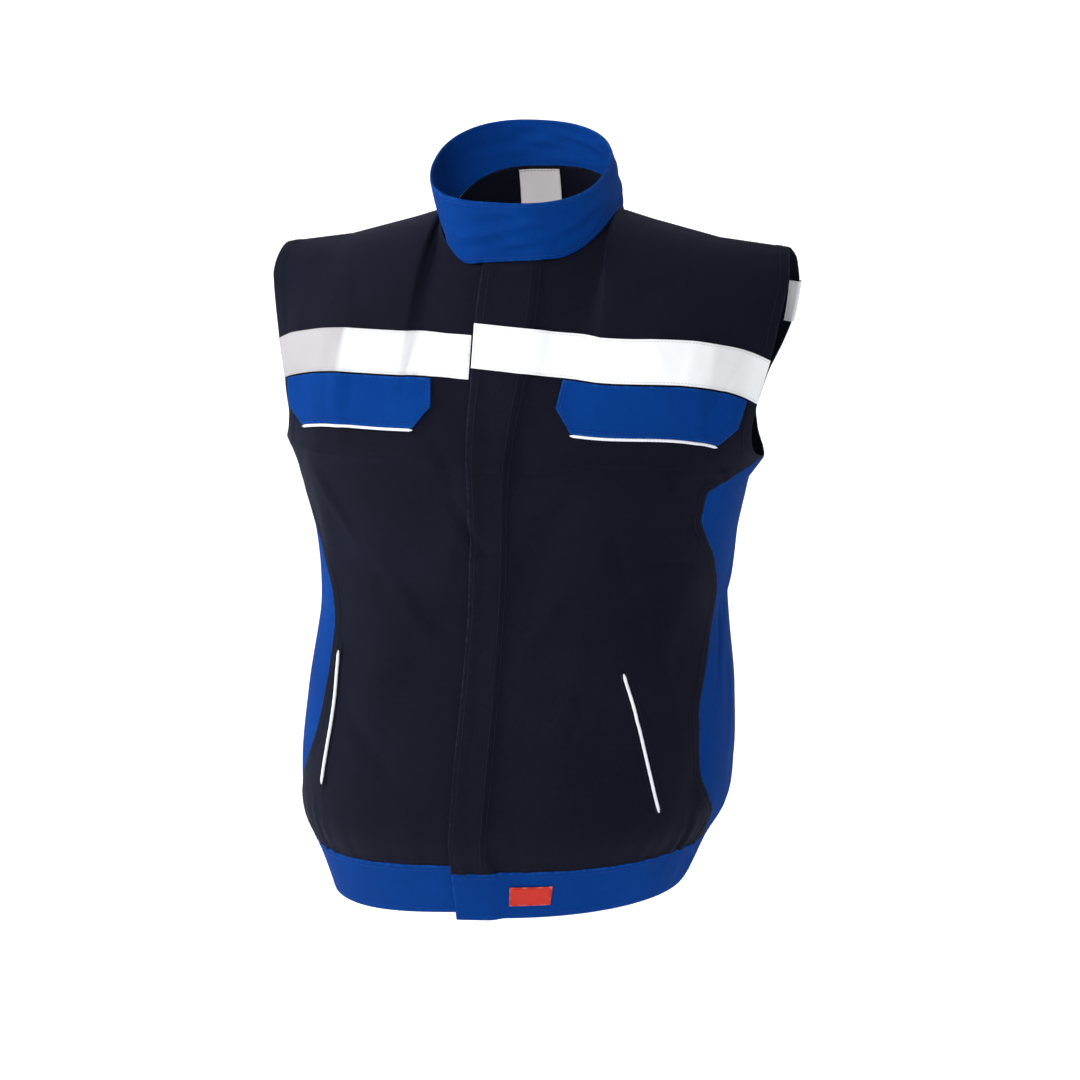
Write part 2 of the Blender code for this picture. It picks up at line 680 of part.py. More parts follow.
def collar(material):
    """The stand collar: one strip round the neck whose right end runs in under the left."""
    travel = np.linspace(0.0, 360.0 + COLLAR_UNDERLAP, 56)
    turn = np.radians(COLLAR_END_ANGLE + travel)[None, :]
    inward = smooth((travel - COLLAR_TUCK_START) / COLLAR_TUCK_LENGTH)[None, :]
    inward = inward * (DOUBLE_CLOTH + LAYER_GAP)
    corner = COLLAR_CORNER_RISE * np.clip(1.0 - travel / COLLAR_CORNER_ANGLE, 0.0, 1.0)[None, :]
    faces = []
    for outset in (0.0, DOUBLE_CLOTH):
        centre = np.stack([np.sin(turn), -np.cos(turn), np.zeros_like(turn)], axis=-1)
        foot = neckline(turn) + outset * centre + np.array([0.0, 0.0, CLOTH + COLLAR_GAP])
        top = collar_rim(turn, outset)
        rise = np.linalg.norm(top - foot, axis=-1)
        foot = foot - (centre - np.array([0.0, 0.0, FOOT_TUCK_RISE])) * inward[..., None]
        top = top - centre * inward[..., None]
        share = np.linspace(0.0, 1.0, 5)[:, None]
        share = share + (1.0 - share) * corner / rise
        bow = COLLAR_BOW * np.sin(pi * share)
        faces.append(foot + (top - foot) * share[..., None] + centre * bow[..., None])
    return wall("collar", faces[0], faces[1], material)


def build():
    """Clear the scene and make every piece."""
    for old in list(bpy.data.objects):
        bpy.data.objects.remove(old, do_unlink=True)
    navy = finish("navy_cloth", (0.012, 0.013, 0.027), 0.85)
    royal = finish("royal_cloth", (0.006, 0.058, 0.300), 0.80)
    silver = finish("reflective_tape", (0.800, 0.800, 0.815), 0.45)
    white = finish("light_piping", (0.720, 0.740, 0.860), 0.60)
    cream = finish("label_satin", (0.760, 0.700, 0.700), 0.55)
    red = finish("tab_weave", (0.680, 0.035, 0.022), 0.65)
    front_panel("front_left", 1, navy)
    front_panel("front_right", -1, navy)
    back_panel(navy)
    side_panel("side_panel_left", 1, royal)
    side_panel("side_panel_right", -1, royal)
    placket(navy)
    collar(royal)
    waistbands(royal)
    front_tape("tape_left", 1, silver)
    front_tape("tape_right", -1, silver)
    back_tape(silver)
    flap("flap_left", 1, royal)
    flap("flap_right", -1, royal)
    flap_piping("flap_piping_left", 1, white)
    flap_piping("flap_piping_right", -1, white)
    pocket_piping("pocket_piping_left", 1, white)
    pocket_piping("pocket_piping_right", 2, white)
    neck_label(cream)
    hem_tab(red)


build()
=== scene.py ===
"""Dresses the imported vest: finer cloth with folds, seams and stitches, tape, piping and labels.

Metres, +Z up. The front faces -Y and +X is the wearer's left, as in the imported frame. Every
piece lies on one worn form: a place on it has an angle round the body, 0 at the centre front
and positive to the wearer's left, and a run, its height measured along the cloth.
"""

import logging
from collections.abc import Callable
from dataclasses import dataclass, field
from enum import Enum
from math import pi, radians, tau

import bpy
import numpy as np
from mathutils import Matrix
from numpy.typing import NDArray


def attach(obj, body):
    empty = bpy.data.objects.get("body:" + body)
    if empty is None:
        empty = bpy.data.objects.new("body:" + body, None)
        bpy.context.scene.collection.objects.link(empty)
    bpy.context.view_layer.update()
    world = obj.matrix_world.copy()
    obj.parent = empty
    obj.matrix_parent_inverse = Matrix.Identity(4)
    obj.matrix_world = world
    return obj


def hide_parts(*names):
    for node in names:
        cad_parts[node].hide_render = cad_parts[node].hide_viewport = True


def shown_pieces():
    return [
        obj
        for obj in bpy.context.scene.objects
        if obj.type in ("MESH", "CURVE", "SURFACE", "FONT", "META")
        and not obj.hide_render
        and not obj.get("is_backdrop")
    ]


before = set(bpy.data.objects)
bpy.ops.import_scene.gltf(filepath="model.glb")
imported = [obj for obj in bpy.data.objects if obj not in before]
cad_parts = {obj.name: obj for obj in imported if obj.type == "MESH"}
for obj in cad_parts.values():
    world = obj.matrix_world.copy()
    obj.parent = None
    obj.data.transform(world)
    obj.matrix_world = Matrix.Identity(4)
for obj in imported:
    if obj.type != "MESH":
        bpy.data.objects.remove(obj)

Array = NDArray[np.float64]

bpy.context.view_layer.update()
PROBE = 1e-4
CORD_SIDES = 14
GATHER_REACH = 0.045
GATHER_HEIGHT = 0.0011
TUCK_LIFT = 0.0006
TUCK_EASE = 0.0012

log = logging.getLogger("vest")

# Drop below the neck points as a share of the length, then the sideways hang in half widths.
SWAY = np.array([
    (0.0, 0.0), (0.16, 0.0), (0.33, -0.026), (0.45, -0.012),
    (0.6, -0.016), (0.8, -0.04), (1.0, -0.067),
])

# Share of the way from the neck point to the shoulder tip, then the share of the shoulder drop.
SHOULDER_SLOPE = np.array([(0.0, 0.0), (0.2, 0.28), (0.6, 0.76), (1.0, 1.0)])

# Drop below the chest as a share of the way to the hem, then half width, front depth and back
# depth as shares of the chest's.
GIRTHS = np.array([
    (1.0, 0.799, 0.889, 0.906),
    (0.892, 0.878, 1.014, 1.0),
    (0.816, 0.953, 1.097, 1.063),
    (0.694, 0.974, 1.111, 1.078),
    (0.52, 0.957, 1.069, 1.031),
    (0.276, 0.909, 1.014, 0.969),
    (0.122, 0.941, 1.014, 0.984),
    (0.0, 1.0, 1.0, 1.0),
])

# Drop below the armholes as a share of the way to the waistband, then the angles of the
# wearer's left and right front seams and of both back seams.
SIDE_SEAMS = np.array([
    (1.0, 80.0, 84.0, 112.0),
    (0.967, 76.5, 82.0, 113.5),
    (0.93, 73.0, 80.0, 115.0),
    (0.864, 66.0, 71.0, 117.0),
    (0.774, 60.5, 57.0, 119.0),
    (0.7, 59.5, 52.0, 120.0),
    (0.62, 59.0, 50.0, 120.0),
    (0.535, 62.5, 49.0, 120.0),
    (0.453, 67.0, 49.0, 120.0),
    (0.336, 73.0, 51.0, 120.0),
    (0.24, 67.0, 58.0, 121.0),
    (0.18, 60.0, 66.0, 121.0),
    (0.127, 56.0, 71.0, 120.0),
    (0.075, 56.0, 74.0, 118.0),
    (0.048, 63.0, 77.0, 114.0),
    (0.022, 74.0, 81.0, 104.0),
    (0.0, 88.0, 88.0, 92.0),
])

# Climb from the armhole's lowest point as a share of the way to the shoulder, then the armhole
# edge's angle on the wearer's left and right front and on the back.
ARMHOLE = np.array([
    (0.01, 82.0, 79.0, 80.0),
    (0.03, 75.0, 69.0, 70.5),
    (0.065, 70.0, 62.0, 63.5),
    (0.125, 66.5, 58.5, 59.0),
    (0.22, 65.0, 59.0, 59.5),
    (0.33, 65.0, 61.5, 63.0),
    (0.45, 65.0, 63.5, 65.5),
    (0.58, 65.5, 65.0, 66.0),
    (0.71, 66.0, 66.0, 66.5),
    (0.83, 66.5, 66.5, 67.0),
    (0.93, 67.0, 67.0, 67.0),
    (1.0, 67.0, 67.0, 67.0),
])

# Tape height at each angle: drops as shares of the tape's drop for each front piece.
TAPE_LINE = np.array([
    (-4.5, 0.9, 1.01),
    (12.0, 0.95, 0.98),
    (25.0, 0.98, 0.98),
    (45.0, 1.0, 1.0),
    (55.0, 1.06, 1.06),
    (68.0, 1.2, 1.2),
])

# Main folds: angle of the middle, drop as a share of the length, half length, half width and
# height as shares of the chest's half width, and tilt from the horizontal.
FOLDS = np.array([
    (-51.0, 0.46, 0.45, 0.08, 0.016, 88.0),
    (-50.0, 0.23, 0.3, 0.06, -0.01, 90.0),
    (50.0, 0.23, 0.3, 0.06, -0.01, 90.0),
    (-8.0, 0.42, 0.25, 0.07, 0.012, 70.0),
    (14.0, 0.44, 0.26, 0.07, -0.012, 60.0),
    (32.0, 0.44, 0.3, 0.07, 0.013, 50.0),
    (38.0, 0.54, 0.24, 0.06, -0.015, 35.0),
    (45.0, 0.6, 0.25, 0.07, 0.014, 60.0),
    (-25.0, 0.52, 0.3, 0.08, -0.01, -20.0),
    (-30.0, 0.64, 0.3, 0.09, 0.01, 75.0),
    (22.0, 0.7, 0.35, 0.09, 0.01, 80.0),
    (58.0, 0.82, 0.3, 0.07, -0.01, 75.0),
    (8.0, 0.86, 0.25, 0.08, 0.01, 20.0),
    (-40.0, 0.85, 0.3, 0.08, -0.008, 15.0),
    (90.0, 0.56, 0.24, 0.07, -0.014, 10.0),
    (-90.0, 0.56, 0.24, 0.07, -0.014, -10.0),
    (140.0, 0.42, 0.5, 0.1, 0.014, 80.0),
    (160.0, 0.56, 0.4, 0.09, -0.012, 25.0),
    (180.0, 0.72, 0.5, 0.11, 0.014, 88.0),
    (-155.0, 0.54, 0.45, 0.09, 0.013, -30.0),
    (-140.0, 0.7, 0.45, 0.1, -0.012, 85.0),
    (-160.0, 0.3, 0.4, 0.1, -0.01, 70.0),
])

# Finer creases of the cloth, in the folds' columns.
CREASES = np.array([
    (-8.5, 0.12, 0.2, 0.034, -0.01, 95.0),
    (-6.2, 0.426, 0.15, 0.026, -0.0085, 118.0),
    (-0.8, 0.464, 0.11, 0.022, -0.006, 10.0),
    (6.2, 0.3, 0.15, 0.032, -0.006, 103.0),
    (33.8, 0.478, 0.14, 0.03, -0.01, 109.0),
    (47.8, 0.476, 0.15, 0.026, -0.009, 178.0),
    (53.5, 0.426, 0.08, 0.026, -0.007, 144.0),
    (-44.8, 0.413, 0.16, 0.03, 0.0065, 120.0),
    (-38.5, 0.23, 0.22, 0.03, 0.011, 90.0),
    (-34.5, 0.215, 0.17, 0.022, -0.004, 88.0),
    (-21.0, 0.2, 0.13, 0.02, -0.004, 78.0),
    (-13.5, 0.195, 0.13, 0.02, -0.004, 74.0),
    (43.0, 0.2, 0.15, 0.022, 0.0045, 84.0),
    (53.0, 0.215, 0.12, 0.02, -0.004, 70.0),
    (47.5, 0.26, 0.23, 0.026, 0.005, 98.0),
    (-14.2, 0.571, 0.08, 0.026, -0.004, 156.0),
    (-38.2, 0.063, 0.15, 0.036, -0.0055, 107.0),
    (34.0, 0.07, 0.18, 0.04, -0.005, 62.0),
    (70.2, 0.885, 0.18, 0.032, -0.009, 159.0),
    (64.0, 0.86, 0.16, 0.03, 0.007, 130.0),
    (-10.0, 0.337, 0.14, 0.032, -0.006, 97.0),
    (13.5, 0.567, 0.18, 0.036, 0.007, 60.0),
    (24.2, 0.673, 0.28, 0.04, -0.006, 73.0),
    (-24.2, 0.537, 0.22, 0.038, 0.0065, 125.0),
    (-31.0, 0.749, 0.25, 0.044, -0.006, 131.0),
    (48.0, 0.663, 0.33, 0.04, 0.006, 101.0),
    (78.0, 0.6, 0.3, 0.034, -0.012, 62.0),
    (86.0, 0.7, 0.26, 0.04, 0.009, 80.0),
    (98.0, 0.52, 0.24, 0.036, 0.008, 55.0),
    (-78.0, 0.64, 0.28, 0.036, -0.01, 105.0),
    (-92.0, 0.76, 0.24, 0.04, 0.008, 95.0),
    (-66.0, 0.83, 0.2, 0.034, -0.008, 40.0),
    (-60.0, 0.36, 0.16, 0.03, -0.007, 35.0),
    (62.0, 0.35, 0.15, 0.03, 0.006, 140.0),
    (150.0, 0.25, 0.3, 0.04, -0.007, 60.0),
    (-150.0, 0.25, 0.3, 0.04, -0.007, 120.0),
    (170.0, 0.46, 0.28, 0.04, 0.007, 20.0),
    (-168.0, 0.62, 0.3, 0.04, -0.007, 150.0),
    (128.0, 0.64, 0.3, 0.04, 0.008, 100.0),
    (-128.0, 0.78, 0.26, 0.04, 0.008, 70.0),
])

# How far the collar's foot overhangs the panels' neck edge at each angle from its free end.
COLLAR_LAP = np.array([
    (0.0, 0.015), (5.0, 0.02), (11.0, 0.0215), (24.0, 0.013), (38.0, 0.0065),
    (60.0, 0.004), (75.0, 0.0055), (90.0, 0.0055), (110.0, 0.003), (140.0, 0.001),
    (200.0, 0.001), (380.0, 0.001),
])

# Pocket pipings: share of the pocket's length down from the top, then the two angles.
POCKET_LINE = np.array([
    (0.0, 35.0, -45.0),
    (0.4, 39.0, -44.0),
    (0.75, 42.5, -45.0),
    (1.0, 45.5, -46.5),
])


class Side(Enum):
    """A side of the wearer: the sign of X, and the column of the seam tables."""

    LEFT = 1
    RIGHT = -1

    @property
    def column(self) -> int:
        """Column of this side in the seam, armhole and tape tables."""
        return 1 if self is Side.LEFT else 2

    @property
    def word(self) -> str:
        """The side's name in lower case."""
        return self.name.lower()


class Weave(Enum):
    """How a cloth is woven: the slant of its ribs across and up the piece."""

    TWILL = (1.0, 1.0)
    PLAIN = (1.0, 0.0)
    SATIN = (0.3, 1.0)


def smooth(share: Array | float) -> Array:
    """Ease from 0 to 1 with level ends.

    Args:
        share: Values to ease, cut off below 0 and above 1.

    Returns:
        3 s^2 - 2 s^3 of each value.
    """
    share = np.clip(share, 0.0, 1.0)
    return share * share * (3.0 - 2.0 * share)


def along(table: Array, key: Array | float, column: int, level: bool = False) -> Array:
    """Read a table's column at key with a smooth curve through its rows.

    Args:
        table: Rows of a key and its values.
        key: Where to read.
        column: The column to read.
        level: True for slopes that never overshoot a row, as a cut edge needs.

    Returns:
        The cubic Hermite curve's values at key.
    """
    order = np.argsort(table[:, 0])
    keys, values = table[order, 0], table[order, column]
    if level:
        rise = np.diff(values) / np.diff(keys)
        before, after = rise[:-1], rise[1:]
        both = np.where(before * after > 0.0, 2.0 * before * after, 0.0)
        middle = both / np.where(before * after > 0.0, before + after, 1.0)
        slopes = np.concatenate([rise[:1], middle, rise[-1:]])
    else:
        slopes = np.gradient(values, keys)
    key = np.clip(key, keys[0], keys[-1])
    low = np.clip(np.searchsorted(keys, key) - 1, 0, len(keys) - 2)
    step = keys[low + 1] - keys[low]
    part = (key - keys[low]) / step
    ease = part * part * (3.0 - 2.0 * part)
    start_pull = part * (1.0 - part) ** 2 * step * slopes[low]
    end_pull = -part * part * (1.0 - part) * step * slopes[low + 1]
    return values[low] + ease * (values[low + 1] - values[low]) + start_pull + end_pull


def squared_circle(angle: Array, squareness: Array | float) -> tuple[Array, Array]:
    """Sine and cosine of an angle on a superellipse.

    Args:
        angle: Angles in radians.
        squareness: The superellipse's exponent, 2 for a circle.

    Returns:
        The two coordinates, |s|^n + |c|^n = 1.
    """
    sine, cosine = np.sin(angle), np.cos(angle)
    reach = (np.abs(sine) ** squareness + np.abs(cosine) ** squareness) ** (-1.0 / squareness)
    return reach * sine, reach * cosine


def unit(vectors: Array) -> Array:
    """The vectors at length 1."""
    return vectors / np.maximum(np.linalg.norm(vectors, axis=-1, keepdims=True), 1e-12)


def nearest(points: Array, line: Array) -> Array:
    """How far each point is from the closest point of a line.

    Args:
        points: Places, any shape with 3 as its last axis.
        line: The line's own points.

    Returns:
        The distances, in the shape of points without its last axis.
    """
    flat = points.reshape(-1, 3)
    best = np.full(len(flat), np.inf)
    for start in range(0, len(line), 64):
        part = line[start:start + 64]
        away = ((flat[:, None, :] - part[None, :, :]) ** 2).sum(axis=-1).min(axis=1)
        best = np.minimum(best, away)
    return np.sqrt(best).reshape(points.shape[:-1])


def arc_length(points: Array, axis: int) -> Array:
    """Distance travelled along one axis of a grid of points, starting at 0."""
    steps = np.linalg.norm(np.diff(points, axis=axis), axis=-1)
    first = np.zeros_like(np.take(steps, [0], axis=axis))
    return np.cumsum(np.concatenate([first, steps], axis=axis), axis=axis)


def edged(count: int, length: float, rim: float = 0.0016) -> Array:
    """Even shares from 0 to 1 with close rows at both ends, where a cloth's edge rounds over.

    Args:
        count: Even steps between the ends.
        length: The real length that the shares cover, in metres.
        rim: How far in from each end the close rows reach.

    Returns:
        The shares, rising from 0 to 1.
    """
    close = rim / length * np.array([0.0, 0.25, 0.6])
    inner = np.linspace(rim / length, 1.0 - rim / length, count)
    return np.concatenate([close, inner, 1.0 - close[::-1]])


@dataclass(frozen=True)
class WornForm:
    """The surface that every piece lies on: a body-shaped shell with its folds."""

    neck_to_hem: float = 0.780
    chest_drop: float = 0.290
    chest_half_width: float = 0.254
    chest_front_depth: float = 0.144
    chest_back_depth: float = 0.128
    chest_bulge: float = 0.016
    shoulder_half_width: float = 0.285
    shoulder_drop: float = 0.041
    shoulder_setback: float = 0.012
    shoulder_tilt: float = 0.004
    shoulder_run: float = 0.440
    neck_half_width: float = 0.096
    neck_front_reach: float = 0.098
    neck_front_drop: float = 0.052
    neck_back_reach: float = 0.060
    neck_back_rise: float = 0.045
    hem_tilt: float = 0.021
    hem_side_rise: float = 0.017
    right_hem_lift: float = 0.008
    hem_lift_reach: float = 0.240
    armhole_drop: float = 0.262
    waistband_height: float = 0.061
    neck_angle: float = 24.0
    shoulder_tip_angle: float = 67.0
    neck_edge_arc: float = 62.0
    lift_fade_angle: float = 46.0
    torso_squareness: float = 2.6
    chest_squareness: float = 4.0
    neck_squareness: float = 3.0
    band_gap: float = 0.0011
    ripple_count: int = 70
    ripple_seed: int = 11

    @property
    def shoulder_top(self) -> float:
        """Run of the shoulder seam and the neckline."""
        return self.shoulder_run - self.chest_drop

    @property
    def waist_seam(self) -> float:
        """Run of the waistband's upper edge."""
        return self.waistband_height - self.neck_to_hem

    @property
    def radius(self) -> float:
        """The form's mean radius, which turns angles into widths."""
        return 0.9 * self.chest_half_width

    def top_line(self, angle: Array, climb: Array) -> tuple[Array, Array, Array, Array]:
        """The neckline and shoulder line at an angle.

        Args:
            angle: Angles round the body, in radians.
            climb: Share of the way from the chest to the shoulder.

        Returns:
            X, Y and Z of the line, and how near the neck's middle each place is.
        """
        front = np.cos(angle) > 0.0
        turn = np.arctan2(np.abs(np.sin(angle)), np.abs(np.cos(angle)))
        round_neck = np.clip(turn / radians(self.neck_angle), 0.0, 1.0) * pi / 2
        across, ahead = squared_circle(round_neck, self.neck_squareness)
        ahead = np.clip(ahead, 0.0, 1.0)
        span = radians(self.shoulder_tip_angle - self.neck_angle)
        outward = np.clip((turn - radians(self.neck_angle)) / span, 0.0, None)
        shoulder = self.neck_half_width
        shoulder = shoulder + (self.shoulder_half_width - self.neck_half_width) * outward
        x = np.where(outward > 0.0, shoulder, self.neck_half_width * across)
        x = np.sign(np.sin(angle)) * x
        reach = np.where(front, -self.neck_front_reach, self.neck_back_reach)
        rise = np.where(front, -self.neck_front_drop, self.neck_back_rise)
        y = self.shoulder_setback + reach * ahead ** (2.0 - climb ** 6)
        z = rise * ahead ** 2 + self.shoulder_tilt * x / self.shoulder_half_width
        z = z - self.shoulder_drop * np.interp(outward, SHOULDER_SLOPE[:, 0], SHOULDER_SLOPE[:, 1])
        return x, y, z, ahead

    def plain(self, angle: Array, run: Array) -> Array:
        """The form without folds: superellipse sections that arch over to the shoulders.

        Args:
            angle: Angles round the body, in radians.
            run: Heights measured along the cloth.

        Returns:
            The points.
        """
        depth = (-self.chest_drop - run) / (self.neck_to_hem - self.chest_drop)
        depth = np.clip(depth, 0.0, 1.0)
        climb = np.clip((run + self.chest_drop) / self.shoulder_run, 0.0, 1.0)
        squareness = self.chest_squareness - self.torso_squareness
        squareness = self.torso_squareness + squareness * smooth(2.5 * climb)
        sine, cosine = squared_circle(angle, squareness)
        half_width = self.chest_half_width * along(GIRTHS, depth, 1)
        front = self.chest_front_depth * along(GIRTHS, depth, 2)
        back = self.chest_back_depth * along(GIRTHS, depth, 3)
        x_low = half_width * sine
        y_low = np.where(cosine > 0.0, -front, -back) * cosine
        x_top, y_top, z_top, ahead = self.top_line(angle, climb)
        arc = np.radians(90.0 + (self.neck_edge_arc - 90.0) * ahead)
        widen = np.clip(1.5 * climb, 0.0, 1.0) ** 0.9
        bulge = self.chest_bulge * np.sin(pi * climb) * sine
        x = x_low + (x_top - x_low) * widen + bulge
        y = y_low + (y_top - y_low) * (1.0 - np.cos(arc * climb)) / (1.0 - np.cos(arc))
        z = np.minimum(run, -self.chest_drop)
        z = z + (z_top + self.chest_drop) * np.sin(arc * climb) / np.sin(arc)
        drop = np.clip(-z / self.neck_to_hem, 0.0, 1.0)
        aside = x / self.chest_half_width
        z = z + (self.hem_tilt * aside + self.hem_side_rise * aside ** 2) * drop ** 3
        x = x + self.chest_half_width * along(SWAY, drop, 1)
        return np.stack([x, y, z], axis=-1)

    def ripples(self) -> Array:
        """Small seeded wrinkles in the folds' columns, running mostly up and down."""
        draw = np.random.default_rng(self.ripple_seed)
        count = self.ripple_count
        return np.column_stack([
            draw.uniform(-180.0, 180.0, count), draw.uniform(0.10, 0.95, count),
            draw.uniform(0.08, 0.22, count), draw.uniform(0.020, 0.045, count),
            draw.uniform(0.0015, 0.0045, count) * draw.choice([-1.0, 1.0], count),
            draw.normal(90.0, 38.0, count)])

    def fold_height(self, angle: Array, run: Array) -> Array:
        """Height of the folds: a sum of long smooth Gaussian ridges and hollows."""
        total = np.zeros(np.shape(angle))
        rows = np.concatenate([FOLDS, CREASES, self.ripples()])
        for middle, drop, half_length, half_width, height, tilt in rows:
            away = angle - radians(middle)
            across = np.arctan2(np.sin(away), np.cos(away)) * self.radius
            upward = run + drop * self.neck_to_hem
            lengthwise = across * np.cos(radians(tilt)) + upward * np.sin(radians(tilt))
            sideways = upward * np.cos(radians(tilt)) - across * np.sin(radians(tilt))
            far = (lengthwise / (half_length * self.chest_half_width)) ** 2
            far = far + (sideways / (half_width * self.chest_half_width)) ** 2
            total = total + height * self.chest_half_width * np.exp(-far)
        return total

    def outward(self, surface: Callable[[Array, Array], Array], angle: Array, run: Array) -> Array:
        """Unit normals of a surface of angle and run, pointing away from the body."""
        across = surface(angle + PROBE, run) - surface(angle - PROBE, run)
        below = np.minimum(run, self.shoulder_top) - 4.0 * PROBE
        upward = surface(angle, run) - surface(angle, below)
        return unit(np.cross(across, upward))

    def surface(self, angle: Array | float, run: Array | float) -> Array:
        """The form with its folds, as points."""
        angle, run = np.broadcast_arrays(np.asarray(angle, float), np.asarray(run, float))
        lift = self.fold_height(angle, run)[..., None]
        return self.plain(angle, run) + lift * self.outward(self.plain, angle, run)

    def normals(self, angle: Array, run: Array) -> Array:
        """Outward normals of the folded form."""
        angle, run = np.broadcast_arrays(np.asarray(angle, float), np.asarray(run, float))
        return self.outward(self.surface, angle, run)

    def run_at_drop(self, angle: Array, drop: Array) -> Array:
        """The run at which the form lies a given drop below the neck points, by halving."""
        angle, drop = np.broadcast_arrays(np.asarray(angle, float), np.asarray(drop, float))
        low = np.full(angle.shape, -self.neck_to_hem)
        high = np.full(angle.shape, self.shoulder_top)
        for _ in range(24):
            middle = 0.5 * (low + high)
            above = self.plain(angle, middle)[..., 2] > -drop
            high = np.where(above, middle, high)
            low = np.where(above, low, middle)
        return 0.5 * (low + high)

    def right_lift(self, angle: Array, run: Array) -> Array:
        """How far the wearer's right half hangs higher than the left near the hem."""
        reach = self.hem_lift_reach
        deep = smooth((reach - self.neck_to_hem - run) / (reach - self.waistband_height))
        fade = 1.0 - smooth(-angle / radians(self.lift_fade_angle))
        return self.right_hem_lift * deep * fade

    def shift(self, angle: Array, run: Array, sideways: float) -> tuple[Array, Array]:
        """Move a line on the form squarely to one side of itself.

        Args:
            angle: Angles along the line, in radians.
            run: Runs along the line.
            sideways: How far to move, positive to the left of its direction seen from outside.

        Returns:
            The moved line's angles and runs.
        """
        points = self.plain(angle, run)
        step = 10.0 * PROBE
        over = (self.plain(angle + step, run) - points) / step
        up = (points - self.plain(angle, run - step)) / step
        ahead = unit(np.gradient(points, axis=0))
        aside = np.cross(self.outward(self.plain, angle, run), ahead) * sideways
        turn = (aside * over).sum(axis=-1) / (over ** 2).sum(axis=-1)
        climb = (aside * up).sum(axis=-1) / (up ** 2).sum(axis=-1)
        return angle + turn, run + climb


FORM = WornForm()


@dataclass(frozen=True)
class Line:
    """A line on the form, as angles and runs."""

    angle: Array
    run: Array

    @classmethod
    def at(cls, degrees: Array | float, run: Array | float) -> "Line":
        """A line from angles in degrees and runs, either of which may be a single one."""
        return cls(*np.broadcast_arrays(np.radians(degrees), run))

    @classmethod
    def hung(cls, degrees: Array, drop: Array | float) -> "Line":
        """A line at angles in degrees that lies at drops below the neck points."""
        angle = np.radians(degrees)
        return cls(angle, FORM.run_at_drop(angle, drop))

    def moved(self, sideways: float) -> "Line":
        """The line moved squarely to its left, seen from outside."""
        return Line(*FORM.shift(self.angle, self.run, sideways))

    def points(self) -> Array:
        """The line's places on the form."""
        return FORM.surface(self.angle, self.run)


# Finishes, as trees of shader nodes.


class Value:
    """A number that varies over a surface: it wraps a socket, and arithmetic adds Math nodes."""

    def __init__(self, graph: "Graph", socket: bpy.types.NodeSocket) -> None:
        """Keep the socket and the graph that it belongs to."""
        self.graph = graph
        self.socket = socket

    def maths(self, operation: str, *others: "Value | float") -> "Value":
        """Add one Math node on this value and the others."""
        values = dict(enumerate((self, *others)))
        return self.graph.node("ShaderNodeMath", {"operation": operation}, values)

    def __add__(self, other: "Value | float") -> "Value":
        """This value plus another."""
        return self.maths("ADD", other)

    __radd__ = __add__

    def __mul__(self, other: "Value | float") -> "Value":
        """This value times another."""
        return self.maths("MULTIPLY", other)

    __rmul__ = __mul__

    def __sub__(self, other: "Value | float") -> "Value":
        """This value less another."""
        return self.maths("SUBTRACT", other)

    def __rsub__(self, other: float) -> "Value":
        """A number less this value."""
        return self * -1.0 + other

    def sine(self) -> "Value":
        """Sine of this value."""
        return self.maths("SINE")

    def wave(self) -> "Value":
        """Sine of this value, brought to 0 to 1."""
        return self.sine() * 0.5 + 0.5

    def size(self) -> "Value":
        """This value without its sign."""
        return self.maths("ABSOLUTE")

    def above(self, low: float, high: float) -> "Value":
        """0 at low and 1 at high, eased between them."""
        return self.graph.node("ShaderNodeMapRange", {"interpolation_type": "SMOOTHSTEP"}, {
            "Value": self, "From Min": low, "From Max": high, "To Min": 0.0, "To Max": 1.0})


